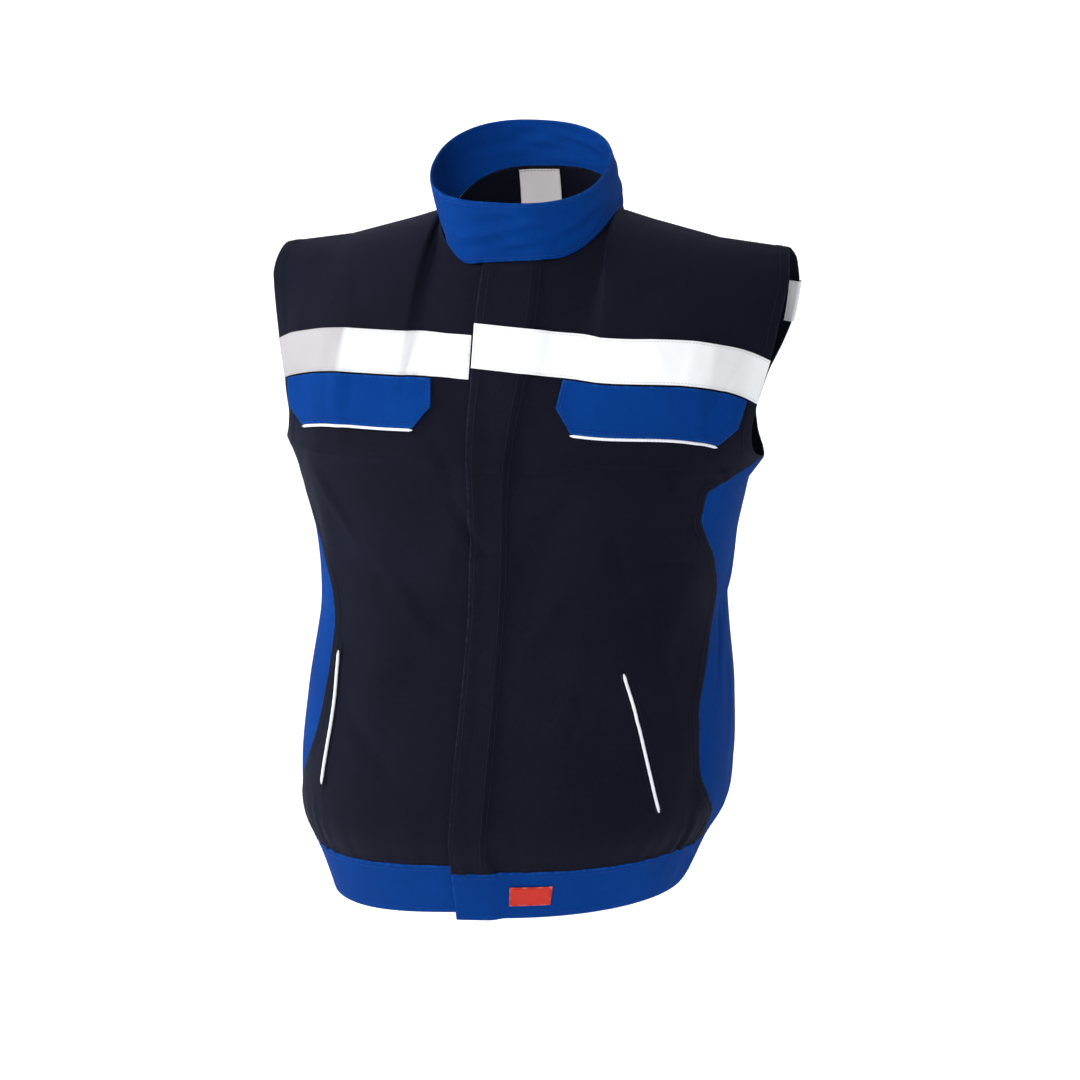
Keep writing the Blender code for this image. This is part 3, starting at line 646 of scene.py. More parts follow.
class Graph:
    """One material and its nodes."""

    def __init__(self, name: str) -> None:
        """Make the material with its Principled shader."""
        self.material = bpy.data.materials.new(name)
        self.material.use_nodes = True
        self.tree = self.material.node_tree
        self.shader = self.tree.nodes["Principled BSDF"]

    def node(self, kind: str, settings: dict, inputs: dict, output: int | str = 0) -> Value:
        """Add a node.

        Args:
            kind: The node's type.
            settings: Properties, which are set first.
            inputs: Values or links of its sockets, by name or number.
            output: The output to return.

        Returns:
            The wrapped output.
        """
        made = self.tree.nodes.new(kind)
        for key, value in settings.items():
            setattr(made, key, value)
        self.feed(made, inputs)
        return Value(self, made.outputs[output])

    def feed(self, made: bpy.types.Node, inputs: dict) -> None:
        """Set or link a node's sockets."""
        for key, value in inputs.items():
            if isinstance(value, Value):
                self.tree.links.new(value.socket, made.inputs[key])
            else:
                made.inputs[key].default_value = value

    def blend(self, share: "Value", low: "Value | tuple", high: "Value | tuple") -> Value:
        """Mix two colours by a share."""
        low = low if isinstance(low, Value) else (*low, 1.0)
        high = high if isinstance(high, Value) else (*high, 1.0)
        return self.node("ShaderNodeMix", {"data_type": "RGBA"}, {0: share, 6: low, 7: high}, 2)

    def noise(self, scale: float, detail: float = 2.0, rough: float = 0.5) -> Value:
        """Noise on Object coordinates, from 0 to 1."""
        place = self.node("ShaderNodeTexCoord", {}, {}, "Object")
        return self.node("ShaderNodeTexNoise", {}, {
            "Vector": place, "Scale": scale, "Detail": detail, "Roughness": rough})

    def cloth_place(self) -> tuple[Value, Value]:
        """Across and up the piece, in metres, from its UV map."""
        place = self.node("ShaderNodeUVMap", {"uv_map": "cloth"}, {})
        across = self.node("ShaderNodeSeparateXYZ", {}, {0: place}, "X")
        upward = self.node("ShaderNodeSeparateXYZ", {}, {0: place}, "Y")
        return across, upward

    def attribute(self, name: str) -> Value:
        """A number stored on the piece's points."""
        return self.node("ShaderNodeAttribute", {"attribute_name": name}, {}, "Fac")

    def surface(self, **sockets: "Value | float | tuple") -> None:
        """Set the shader's sockets; underscores stand for the spaces in their names."""
        self.feed(self.shader, {k.replace("_", " "): v for k, v in sockets.items()})

    def relief(self, height: Value, depth: float) -> None:
        """Feed the shader's normal from a height in shares of a depth in metres."""
        bump = self.node("ShaderNodeBump", {}, {
            "Height": height, "Strength": 1.0, "Distance": depth}, "Normal")
        self.tree.links.new(bump.socket, self.shader.inputs["Normal"])


@dataclass(frozen=True)
class ClothFinish:
    """Woven cloth with ribs, slubs, rubbed edges, and stitch grooves with painted shade."""

    name: str
    deep: tuple[float, float, float]
    crest: tuple[float, float, float]
    worn: tuple[float, float, float]
    sheen: tuple[float, float, float]
    weave: Weave = Weave.TWILL
    pitch: float = 0.0011
    roughness: float = 0.80
    sheen_weight: float = 0.05
    specular: float = 0.07
    depth: float = 0.0005

    def material(self) -> bpy.types.Material:
        """Ribs sin(tau (a u + b v) / pitch), crossed by threads, over mottled noise."""
        graph = Graph(self.name)
        across, upward = graph.cloth_place()
        slant, climb = self.weave.value
        rib = ((across * slant + upward * climb) * (tau / self.pitch)).wave()
        pick = ((across * climb - upward * slant) * (tau / (0.55 * self.pitch))).wave()
        fibre = graph.noise(1400.0, 3.0, 0.7)
        slub = graph.noise(160.0, 2.0, 0.6)
        mottle = graph.noise(9.0, 4.0, 0.55)
        stitch = graph.attribute("stitch")
        edge = graph.attribute("edge")
        groove = 1.0 - stitch.above(0.0002, 0.0013)
        pucker = (1.0 - stitch.above(0.0015, 0.0060)) * (graph.noise(260.0, 1.0) - 0.5)
        rubbed = (1.0 - edge.above(0.0004, 0.0032)) * slub.above(0.35, 0.75)
        lit = (rib * 0.45 + fibre * 0.35 + slub * 0.30 + mottle * 0.75 - 0.45) * 0.8
        base = graph.blend(lit.above(0.05, 0.95), self.deep, self.crest)
        base = graph.blend(rubbed * 0.55, base, self.worn)
        # Painted shade: the cloth is darkened toward its deep colour in the stitch grooves.
        base = graph.blend(groove * 0.45, base, self.deep)
        rough = rib * -0.05 + mottle * 0.10 + rubbed * 0.05 + (self.roughness - 0.03)
        graph.surface(Base_Color=base, Roughness=rough, Sheen_Weight=self.sheen_weight,
                      Sheen_Roughness=0.45, Sheen_Tint=(*self.sheen, 1.0),
                      Specular_IOR_Level=self.specular)
        height = rib * 0.30 + pick * 0.18 + fibre * 0.28 + slub * 0.22 + pucker * 0.9
        graph.relief(height - 0.9 * groove, self.depth)
        return graph.material


@dataclass(frozen=True)
class TapeFinish:
    """Silver reflective tape: fine beads, a faint lozenge press, soft scuffs, and painted shade in
    the stitch grooves and where it turns from the light.
    """

    name: str
    bright: tuple[float, float, float]
    scuff_and_shade: tuple[float, float, float]
    lozenge: float = 0.0042
    depth: float = 0.00022

    def material(self) -> bpy.types.Material:
        """Lozenges |sin(u + v) sin(u - v)| pressed into a beaded face."""
        graph = Graph(self.name)
        across, upward = graph.cloth_place()
        press = ((across + upward) * (pi / self.lozenge)).sine()
        press = (press * ((across - upward) * (pi / self.lozenge)).sine()).size()
        beads = graph.noise(2600.0, 1.0, 0.5)
        cloud = graph.noise(22.0, 4.0, 0.6)
        streak = graph.noise(85.0, 3.0, 0.7)
        stitch = graph.attribute("stitch")
        edge = graph.attribute("edge")
        # The groove mask also paints shade into the stitch grooves, through the grey mix below.
        groove = 1.0 - stitch.above(0.0002, 0.0012)
        rubbed = (1.0 - edge.above(0.0003, 0.0026)) * streak.above(0.35, 0.7)
        # Painted shade: the stored share greys the tape where it turns away from the light beside
        # the arms.
        dull = graph.attribute("dull") * (0.88 + cloud * 0.20)
        scuff_and_shade_share = cloud.above(0.50, 0.80) * streak.above(0.45, 0.75) * 0.15
        scuff_and_shade_share = scuff_and_shade_share + rubbed * 0.20 + groove * 0.30 + dull
        # The grey mix is partly real scuffs and rubbed edges, and partly painted shade.
        base = graph.blend(scuff_and_shade_share + press * 0.05, self.bright, self.scuff_and_shade)
        rough = 0.34 + cloud * 0.16 + beads * 0.08 + rubbed * 0.15
        graph.surface(Base_Color=base, Roughness=rough, Specular_IOR_Level=0.2,
                      Sheen_Weight=0.02)
        graph.relief(press * 0.30 + beads * 0.35 + cloud * 0.5 - 0.9 * groove, self.depth)
        return graph.material


@dataclass(frozen=True)
class CordFinish:
    """A smooth covered cord, faintly ribbed round its length."""

    name: str
    light: tuple[float, float, float]
    shade: tuple[float, float, float]
    pitch: float = 0.0013
    depth: float = 0.00012

    def material(self) -> bpy.types.Material:
        """Rings sin(tau v / pitch) along the cord with soft grime."""
        graph = Graph(self.name)
        _, upward = graph.cloth_place()
        ring = (upward * (tau / self.pitch)).wave()
        grime = graph.noise(120.0, 3.0, 0.6)
        fibre = graph.noise(1800.0, 2.0, 0.6)
        base = graph.blend(grime.above(0.45, 0.85) * 0.6 + ring * 0.12, self.light, self.shade)
        graph.surface(Base_Color=base, Roughness=0.48 + grime * 0.12, Sheen_Weight=0.15,
                      Specular_IOR_Level=0.5)
        graph.relief(ring * 0.6 + fibre * 0.4, self.depth)
        return graph.material


@dataclass(frozen=True)
class ThreadFinish:
    """Twisted sewing thread."""

    name: str
    light: tuple[float, float, float]
    shade: tuple[float, float, float]
    strands: float = 2.0
    pitch: float = 0.0009
    depth: float = 0.00008

    def material(self) -> bpy.types.Material:
        """Twist lines sin of the thread's two coordinates."""
        graph = Graph(self.name)
        across, upward = graph.cloth_place()
        twist = (across * (tau * self.strands) + upward * (tau / self.pitch)).wave()
        fibre = graph.noise(900.0, 2.0, 0.6)
        base = graph.blend(twist * 0.6 + fibre * 0.4, self.shade, self.light)
        graph.surface(Base_Color=base, Roughness=0.60 + fibre * 0.15, Sheen_Weight=0.05,
                      Specular_IOR_Level=0.12)
        graph.relief(twist, self.depth)
        return graph.material


@dataclass(frozen=True)
class StageFinish:
    """The plain pale floor and backdrop."""

    name: str = "studio_paper"
    colour: tuple[float, float, float] = (0.93, 0.93, 0.935)
    shade: tuple[float, float, float] = (0.88, 0.88, 0.885)
    glow: float = 0.38

    def material(self) -> bpy.types.Material:
        """Even matt paper with a trace of tooth."""
        graph = Graph(self.name)
        tooth = graph.noise(30.0, 2.0)
        base = graph.blend(tooth * 0.05, self.colour, self.shade)
        graph.surface(Base_Color=base, Roughness=0.9, Emission_Color=base,
                      Emission_Strength=self.glow)
        return graph.material


@dataclass(frozen=True)
class Finishes:
    """Every finish of the vest, made once."""

    navy: bpy.types.Material
    royal: bpy.types.Material
    tape: bpy.types.Material
    piping: bpy.types.Material
    satin: bpy.types.Material
    tab: bpy.types.Material
    navy_thread: bpy.types.Material
    royal_thread: bpy.types.Material
    pale_thread: bpy.types.Material

    @classmethod
    def make(cls) -> "Finishes":
        """Build each finish's material."""
        looks = {
            "navy": ClothFinish("navy_twill", (0.0029, 0.0032, 0.0084), (0.0086, 0.0093, 0.0215),
                                (0.026, 0.029, 0.060), (0.35, 0.42, 0.85)),
            "royal": ClothFinish("royal_twill", (0.0010, 0.0300, 0.1850), (0.0030, 0.0620, 0.3250),
                                 (0.012, 0.105, 0.420), (0.20, 0.45, 1.0), sheen_weight=0.02,
                                 specular=0.03),
            "tape": TapeFinish("silver_tape", (0.88, 0.90, 0.93), (0.36, 0.35, 0.37)),
            "piping": CordFinish("piping_cord", (0.84, 0.86, 0.93), (0.55, 0.58, 0.70)),
            "satin": ClothFinish("label_satin_weave", (0.84, 0.78, 0.77), (0.96, 0.91, 0.90),
                                 (0.60, 0.56, 0.56), (1.0, 1.0, 1.0), Weave.SATIN, 0.0006, 0.42,
                                 0.10, 0.35, 0.00015),
            "tab": ClothFinish("tab_weave_red", (0.46, 0.018, 0.010), (0.72, 0.050, 0.032),
                               (0.80, 0.30, 0.26), (1.0, 0.6, 0.5), Weave.PLAIN, 0.0008, 0.62,
                               0.08, 0.15, 0.0003),
            "navy_thread": ThreadFinish("navy_thread", (0.018, 0.020, 0.042),
                                        (0.006, 0.007, 0.018)),
            "royal_thread": ThreadFinish("royal_thread", (0.010, 0.085, 0.400),
                                         (0.005, 0.042, 0.220)),
            "pale_thread": ThreadFinish("pale_thread", (0.72, 0.72, 0.74), (0.42, 0.42, 0.45)),
        }
        return cls(**{name: look.material() for name, look in looks.items()})


# Meshes made from whole arrays.


def add_mesh(name: str, points: Array, faces: list, uv: Array, values: dict[str, Array],
             material: bpy.types.Material) -> bpy.types.Object:
    """Put arrays into a new object.

    Args:
        name: The piece's name.
        points: One row for each point.
        faces: Lists of point numbers, turned outwards.
        uv: Across and up for each point, in metres.
        values: Numbers to store on the points, by attribute name.
        material: The piece's finish.

    Returns:
        The linked object.
    """
    mesh = bpy.data.meshes.new(name)
    mesh.from_pydata(points.tolist(), [], faces)
    corner = np.zeros(len(mesh.loops), np.int32)
    mesh.loops.foreach_get("vertex_index", corner)
    mesh.uv_layers.new(name="cloth").data.foreach_set("uv", uv[corner].astype(np.float32).ravel())
    for key, value in values.items():
        stored = mesh.attributes.new(key, "FLOAT", "POINT")
        stored.data.foreach_set("value", value.astype(np.float32).ravel())
    mesh.materials.append(material)
    mesh.shade_smooth()
    piece = bpy.data.objects.new(name, mesh)
    bpy.context.collection.objects.link(piece)
    return piece


def quads(index: Array) -> Array:
    """Four-sided faces between neighbours in a grid of point numbers."""
    corners = [index[:-1, :-1], index[:-1, 1:], index[1:, 1:], index[1:, :-1]]
    return np.stack(corners, axis=-1).reshape(-1, 4)


def round_faces(made: Array) -> list:
    """Faces of round bars: sides between their rings of points, and a cap at both ends.

    Args:
        made: Points of shape (bars, rings, sides, 3).

    Returns:
        Lists of point numbers, turned outwards.
    """
    index = np.arange(made[..., 0].size).reshape(made.shape[:3])
    ahead = np.roll(index, -1, axis=2)
    side = np.stack([index[:, :-1], index[:, 1:], ahead[:, 1:], ahead[:, :-1]], axis=-1)
    return side.reshape(-1, 4).tolist() + index[:, 0].tolist() + index[:, -1, ::-1].tolist()


def from_edge(grid: Array) -> Array:
    """How far each point of a grid is from the nearest of the grid's own four edges."""
    return nearest(grid, np.concatenate([grid[0], grid[-1], grid[:, 0], grid[:, -1]]))


def level(lift: float) -> Callable[[Array, Array], Array]:
    """A base that has the same lift all over."""
    return lambda angle, run: np.full(np.shape(angle), lift)


def volume(points: Array, faces: Array) -> float:
    """Signed volume of a closed mesh of four-sided faces."""
    a, b, c, d = (points[faces[:, i]] for i in range(4))
    return float((a * np.cross(b, c)).sum() + (a * np.cross(c, d)).sum()) / 6.0


@dataclass
class Sheet:
    """A cloth wall between an inner and an outer grid of points."""

    name: str
    inner: Array
    outer: Array
    upward: Array
    edge: Array
    stitch: Array
    material: bpy.types.Material
    # Share of painted shade on the points, for a finish that uses one.
    dull: Array | None = None

    def build(self) -> bpy.types.Object:
        """Close the wall: both faces and the four edge strips, with its UV map in metres."""
        rows, columns = self.inner.shape[:2]
        count = rows * columns
        index = np.arange(count).reshape(rows, columns)
        face = quads(index)
        rim = np.concatenate([index[0, :-1], index[:-1, -1], index[-1, :0:-1], index[:0:-1, 0]])
        ahead = np.roll(rim, -1)
        strip = np.stack([rim, ahead, ahead + count, rim + count], axis=-1)
        faces = np.concatenate([face[:, ::-1], face + count, strip[:, ::-1]])
        points = np.concatenate([self.inner.reshape(-1, 3), self.outer.reshape(-1, 3)])
        if volume(points, faces) < 0.0:
            faces = faces[:, ::-1]
        across = arc_length(self.outer, 1)
        across = across - across[:, columns // 2][:, None]
        upward = np.broadcast_to(self.upward, (rows, columns))
        uv = np.tile(np.column_stack([across.ravel(), upward.ravel()]), (2, 1))
        stored = {"edge": self.edge, "stitch": self.stitch}
        if self.dull is not None:
            stored["dull"] = self.dull
        values = {key: np.tile(value.ravel(), 2) for key, value in stored.items()}
        return add_mesh(self.name, points, faces.tolist(), uv, values, self.material)


@dataclass(frozen=True)
class Needle:
    """A row of separate stitches of one thread."""

    radius: float = 0.00030
    length: float = 0.0030
    pitch: float = 0.0038
    sides: int = 5
    rings: int = 4

    def sew(self, points: Array, normals: Array) -> tuple[Array, Array]:
        """Lay stitches along a line on the cloth.

        Each stitch is a round profile carried along its stretch of the line; its height above
        the cloth and its girth follow a half sine, so its ends dive into the cloth.

        Args:
            points: Places along the line.
            normals: The cloth's outward directions there.

        Returns:
            Points of shape (stitches, rings, sides, 3), and their UVs.
        """
        travel = arc_length(points, 0)
        count = max(int(travel[-1] // self.pitch), 1)
        start = self.pitch * np.arange(count) + 0.5 * (travel[-1] - self.pitch * count)
        share = np.linspace(0.0, 1.0, self.rings)
        at = start[:, None] + self.length * share
        centre = np.stack([np.interp(at, travel, points[:, k]) for k in range(3)], axis=-1)
        up = unit(np.stack([np.interp(at, travel, normals[:, k]) for k in range(3)], axis=-1))
        aside = unit(np.cross(unit(centre[:, -1:] - centre[:, :1]), up))
        arch = np.sin(pi * (0.12 + 0.76 * share))
        centre = centre + up * (self.radius * (1.5 * arch - 0.7))[None, :, None]
        girth = (self.radius * arch)[None, :, None, None]
        turn = tau * np.arange(self.sides) / self.sides
        ring = np.cos(turn)[:, None] * aside[:, :, None, :]
        ring = ring + np.sin(turn)[:, None] * up[:, :, None, :]
        made = centre[:, :, None, :] + girth * ring
        uv = np.stack(np.broadcast_arrays(np.arange(self.sides)[None, None, :] / self.sides,
                                          at[:, :, None]), axis=-1)
        return made, uv


@dataclass
class Stitching:
    """All the stitches of one colour on one sub-assembly."""

    name: str
    material: bpy.types.Material
    needle: Needle = Needle()
    made: list[Array] = field(default_factory=list)
    uvs: list[Array] = field(default_factory=list)

    def sew(self, points: Array, normals: Array) -> None:
        """Add a row of stitches along a line on the cloth."""
        made, uv = self.needle.sew(points, normals)
        self.made.append(made)
        self.uvs.append(uv)

    def build(self) -> bpy.types.Object:
        """Join the rows into one mesh: side faces between rings and a cap at both ends."""
        made, uv = np.concatenate(self.made), np.concatenate(self.uvs)
        return add_mesh(self.name, made.reshape(-1, 3), round_faces(made), uv.reshape(-1, 2), {},
                        self.material)


class Hold(Enum):
    """How a sheet of cloth is held."""

    HUNG = "hung"
    LAID = "laid"
    GATHERED = "gathered"
    FOLDED = "folded"


@dataclass(frozen=True)
class Cut:
    """A cloth piece as it was cut flat, and how it is held on the vest."""

    width: float
    length: float
    hold: Hold
    area: float | None = None
    rests_on: tuple[str, ...] = ()

    def declare(self, piece: bpy.types.Object, *sewn_on: bpy.types.Object) -> None:
        """Does nothing with the piece or with what is sewn on it."""


@dataclass
class ClothPiece:
    """A cloth wall on the form, from a grid of angles and runs, with its lines and stitches."""

    name: str
    nodes: tuple[str, ...]
    slot: str
    material: bpy.types.Material
    thread: bpy.types.Material
    thickness: float
    base: Callable[[Array, Array], Array]
    cut: Cut
    seams: list[Line] = field(default_factory=list)
    hems: list[Line] = field(default_factory=list)
    stitches: list[Line] = field(default_factory=list)
    swell: Callable[[Array, Array], Array] | None = None
    floor: Callable[[Array, Array], Array] | None = None
    hem_width: float = 0.012
    hem_swell: float = 0.0006
    seam_width: float = 0.009
    seam_swell: float = 0.0005
    swell_fade: float = 0.0025
    rounding: float = 0.0012
    rim_left: float = 0.25
    # Gives the share of painted shade at each angle, for the tape.
    turn_shade_at: Callable[[Array], Array] | None = None

    def top(self, angle: Array, run: Array) -> Array:
        """Lift of the outer face: its base, its wall and the swell of hems and felled seams."""
        angle, run = np.broadcast_arrays(np.asarray(angle, float), np.asarray(run, float))
        lift = self.base(angle, run) + self.thickness
        places = FORM.surface(angle, run)
        for lines, width, height in ((self.hems, self.hem_width, self.hem_swell),
                                     (self.seams, self.seam_width, self.seam_swell)):
            if lines:
                edge = np.concatenate([line.points() for line in lines])
                away = nearest(places, edge)
                lift = lift + height * (1.0 - smooth((away - width) / self.swell_fade))
        if self.swell is not None:
            lift = lift + self.swell(angle, run)
        return lift

    def on_top(self, line: Line) -> tuple[Array, Array]:
        """A line's places on the outer face, and the outward directions there."""
        normals = FORM.normals(line.angle, line.run)
        lift = self.top(line.angle, line.run)[..., None]
        return FORM.surface(line.angle, line.run) + lift * normals, normals

    def build(self, angle: Array, run: Array,
              rise: Array | float = 0.0) -> list[bpy.types.Object]:
        """Make the wall and its stitches, and give them their places in the frame.

        Args:
            angle: A grid of angles in radians.
            run: A grid of runs.
            rise: Extra lift of each place, where the piece runs into another one.

        Returns:
            The wall, then its stitches if it has any.
        """
        angle, run = np.broadcast_arrays(angle, run)
        places, normals = FORM.surface(angle, run), FORM.normals(angle, run)
        high = self.top(angle, run) + rise
        low = (self.floor or self.base)(angle, run) + rise
        edge = from_edge(places)
        round_off = np.sqrt(1.0 - (1.0 - np.clip(edge / self.rounding, 0.0, 1.0)) ** 2)
        round_off = self.rim_left + (1.0 - self.rim_left) * round_off
        middle, half = 0.5 * (high + low), 0.5 * (high - low)
        outer = places + (middle + half * round_off)[..., None] * normals
        inner = places + (middle - half * round_off)[..., None] * normals
        stitch = np.full(edge.shape, 1.0)
        if self.stitches:
            lines = np.concatenate([line.points() for line in self.stitches])
            stitch = nearest(places, lines)
        # Share of painted shade on the points, where the finish greys as the piece turns from the
        # light.
        dull = np.zeros(edge.shape) if self.turn_shade_at is None else self.turn_shade_at(angle)
        wall = Sheet(self.name, inner, outer, run, edge, stitch, self.material, dull).build()
        place(wall, self.slot, *self.nodes)
        made = [wall]
        if self.stitches:
            sewing = Stitching(self.name + "_stitches", self.thread)
            for line in self.stitches:
                sewing.sew(*self.on_top(line))
            made.append(place(sewing.build(), self.slot))
        self.cut.declare(*made)
        return made


def place(piece: bpy.types.Object, slot: str, *nodes: str) -> bpy.types.Object:
    """Let a piece ride on the vest and stand for its CAD nodes."""
    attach(piece, "root")
    if nodes:
        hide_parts(*nodes)
    log.info("%s: %d faces", piece.name, len(piece.data.polygons))
    return piece


def tube(name: str, points: Array, radius: Array, material: bpy.types.Material) -> bpy.types.Object:
    """A round cord: a circle carried along a line, its ends closed.

    Args:
        name: The piece's name.
        points: The cord's middle line.
        radius: Its radius at each of the points.
        material: Its finish.

    Returns:
        The linked object.
    """
    ahead = unit(np.gradient(points, axis=0))
    aside = unit(np.cross(ahead, np.array([0.0, 0.0, 1.0]) + 0.2 * ahead[:, ::-1]))
    up = np.cross(aside, ahead)
    turn = tau * np.arange(CORD_SIDES) / CORD_SIDES
    ring = np.cos(turn)[:, None] * aside[:, None, :] + np.sin(turn)[:, None] * up[:, None, :]
    made = points[:, None, :] + radius[:, None, None] * ring
    travel = arc_length(points, 0)
    uv = np.stack(np.broadcast_arrays(turn[None, :] * radius.max(), travel[:, None]), axis=-1)
    return add_mesh(name, made.reshape(-1, 3), round_faces(made[None]), uv.reshape(-1, 2), {},
                    material)


# The vest's sub-assemblies.


@dataclass(frozen=True)
class Shells:
    """Thicknesses and clearances of the vest's layers."""

    cloth: float = 0.0016
    double_cloth: float = 0.0030
    flap_cloth: float = 0.0022
    placket_cloth: float = 0.0020
    tape_cloth: float = 0.0012
    label_cloth: float = 0.0010
    layer_gap: float = 0.0007
    placket_gap: float = 0.0020
    inside_gap: float = 0.0018


SHELLS = Shells()


@dataclass(frozen=True)
class Fly:
    """The raised strip of the wearer's left front over the closure."""

    free_angle: float = -4.5
    hem_turn: float = -3.5
    width: float = 0.044
    tape_drop: float = 0.130
    step_start: float = 0.5
    step_length: float = 3.0

    def edge(self, run: Array | float) -> Array:
        """Angle in degrees of the free edge, turning a little away towards the hem."""
        down = np.clip((self.tape_drop + run) / (self.tape_drop + FORM.waist_seam), 0.0, 1.0)
        return self.free_angle + self.hem_turn * down

    def end(self) -> float:
        """Angle in degrees of the stitched edge at the chest."""
        return self.free_angle + float(np.degrees(self.width / FORM.chest_half_width))

    def sewn(self, run: Array | float) -> Array:
        """Angle in degrees of the line that sews the strip down."""
        return self.edge(run) + (self.end() - self.free_angle) * 0.86

    def over(self, angle: Array) -> Array:
        """Lift of a layer that lies on the strip and steps down to the panel beside it."""
        share = smooth((np.degrees(angle) - self.end() - self.step_start) / self.step_length)
        raised = SHELLS.placket_cloth + SHELLS.placket_gap
        return SHELLS.cloth + SHELLS.layer_gap + raised * (1.0 - share)


FLY = Fly()


def seam_table(column: int, inset: float) -> Array:
    """A panel's outer edge as rows of run and angle, from the waist to the shoulder.

    Args:
        column: 1 and 2 for the fronts, 3 for the back, whose angles count from the back.
        inset: Half a seam's gap, in metres.

    Returns:
        Rows of run and angle in degrees, rising.
    """
    seam = SIDE_SEAMS[:, column]
    runs = -FORM.armhole_drop + SIDE_SEAMS[:, 0] * (FORM.waist_seam + FORM.armhole_drop)
    runs[0] += FORM.band_gap
    slope = np.abs(np.diff(np.radians(seam)) * FORM.chest_half_width / np.diff(runs))
    steepest = np.maximum(np.append(slope, 0.0), np.insert(slope, 0, 0.0))
    pulled = np.degrees(inset * np.hypot(1.0, steepest) / FORM.radius)
    seam = (180.0 - seam if column == 3 else seam) - pulled
    climb = -FORM.armhole_drop + ARMHOLE[:, 0] * (FORM.shoulder_top + FORM.armhole_drop)
    return np.column_stack([np.concatenate([runs, climb]),
                            np.concatenate([seam, ARMHOLE[:, column]])])


def edge_angle(column: int, run: Array, inset: float = 0.0) -> Array:
    """Angle in degrees of a panel's outer edge at a run, from the columns of seam_table."""
    return along(seam_table(column, inset), run, 1, level=True)


@dataclass(frozen=True)
class Rows:
    """Where the rows of stitches run beside the edges: metres, and degrees at the shoulder."""

    seam: tuple[float, float] = (0.0020, 0.0078)
    armhole: float = 0.0105
    band: float = 0.0035
    front_shoulder: tuple[float, ...] = (0.006,)
    back_shoulder: tuple[float, ...] = (0.0020, 0.0078)
    shoulder_span: tuple[float, float] = (25.5, 66.0)
    shoulder_edge: float = 0.0005
    above_band: float = 0.004
    below_armhole: float = 0.030
    above_armhole: float = 0.012
    below_shoulder: float = 0.002
    band_end: float = 1.0
    seam_points: int = 200
    hem_points: int = 220
    shoulder_points: int = 90

    def along_edge(self, column: int, inset: float, middle: float, sign: float,
                   shoulder: tuple[float, ...]) -> tuple[list[Line], Line, list[Line]]:
        """Lines along one outer edge of a front or of the back.

        Args:
            column: The edge's column in the seam tables.
            inset: Half a seam's gap, in metres.
            middle: Angle in degrees that the edge is counted from.
            sign: 1 or -1, the way the edge is counted.
            shoulder: Gaps of the rows below the shoulder seam.

        Returns:
            The side and shoulder seams, the armhole's hem, and the rows of stitches.
        """
        foot, top = -FORM.armhole_drop, FORM.shoulder_top
        low = np.linspace(FORM.waist_seam + self.above_band, foot - self.below_armhole,
                          self.seam_points)
        high = np.linspace(foot + self.above_armhole, top - self.below_shoulder, self.hem_points)
        seam, hem = (Line.at(middle + sign * edge_angle(column, runs, inset), runs)
                     for runs in (low, high))
        over = middle + sign * np.linspace(*self.shoulder_span, self.shoulder_points)
        stitches = [seam.moved(sign * gap) for gap in self.seam]
        stitches.append(hem.moved(sign * self.armhole))
        stitches += [Line.at(over, top - gap) for gap in shoulder]
        return [seam, Line.at(over, top - self.shoulder_edge)], hem, stitches

    def over_band(self, first: float, last: float, sign: float, count: int) -> Line:
        """The row just above the waistband, a little short of two angles in degrees."""
        degrees = np.linspace(first + self.band_end, last - self.band_end, count)
        return Line.at(sign * degrees, FORM.waist_seam + self.band)


ROWS = Rows()


@dataclass(frozen=True)
class PanelGrid:
    """Rows and columns of a panel; the rows are closest round the armhole's foot."""

    low_rows: int
    high_rows: int
    columns: int
    span: float
    corner_rows: int = 48
    below_corner: float = 0.036
    above_corner: float = 0.054
    tuck: float = 0.002
    close_rows: tuple[float, float] = (0.0004, 0.0010)

    def runs(self) -> Array:
        """Runs of the rows, upwards from inside the waistband."""
        foot = -FORM.armhole_drop
        below, above = foot - self.below_corner, foot + self.above_corner
        low = np.linspace(FORM.waist_seam - self.tuck, below, self.low_rows)
        middle = np.linspace(below, above, self.corner_rows)
        high = np.linspace(above, FORM.shoulder_top, self.high_rows)
        rows = np.unique(np.concatenate([low, middle, high, [foot]]))
        ends = np.array(self.close_rows)
        return np.unique(np.concatenate([rows, rows[0] + ends, rows[-1] - ends]))[:, None]

    def shares(self) -> Array:
        """Shares of the way across, closest at both edges."""
        return edged(self.columns, self.span)[None, :]


def tuck_rise(run: Array) -> Array:
    """Lift of a panel's lower end, where it runs up inside the waistband's cloth."""
    return TUCK_LIFT * smooth((FORM.waist_seam + FORM.band_gap - run) / TUCK_EASE)


def waist_gathers(angle: Array, run: Array) -> Array:
    """Small gathers where the cloth is drawn into the waistband, strongest at the sides."""
    near = np.exp(-((run - FORM.waist_seam) / GATHER_REACH) ** 2)
    aside = 0.25 + 0.75 * smooth((np.abs(np.sin(angle)) - 0.55) / 0.4)
    waves = np.sin(angle * 46.0 + 3.0 * np.sin(angle * 7.0)) + 0.5 * np.sin(angle * 83.0 + 1.3)
    return GATHER_HEIGHT * near * aside * waves


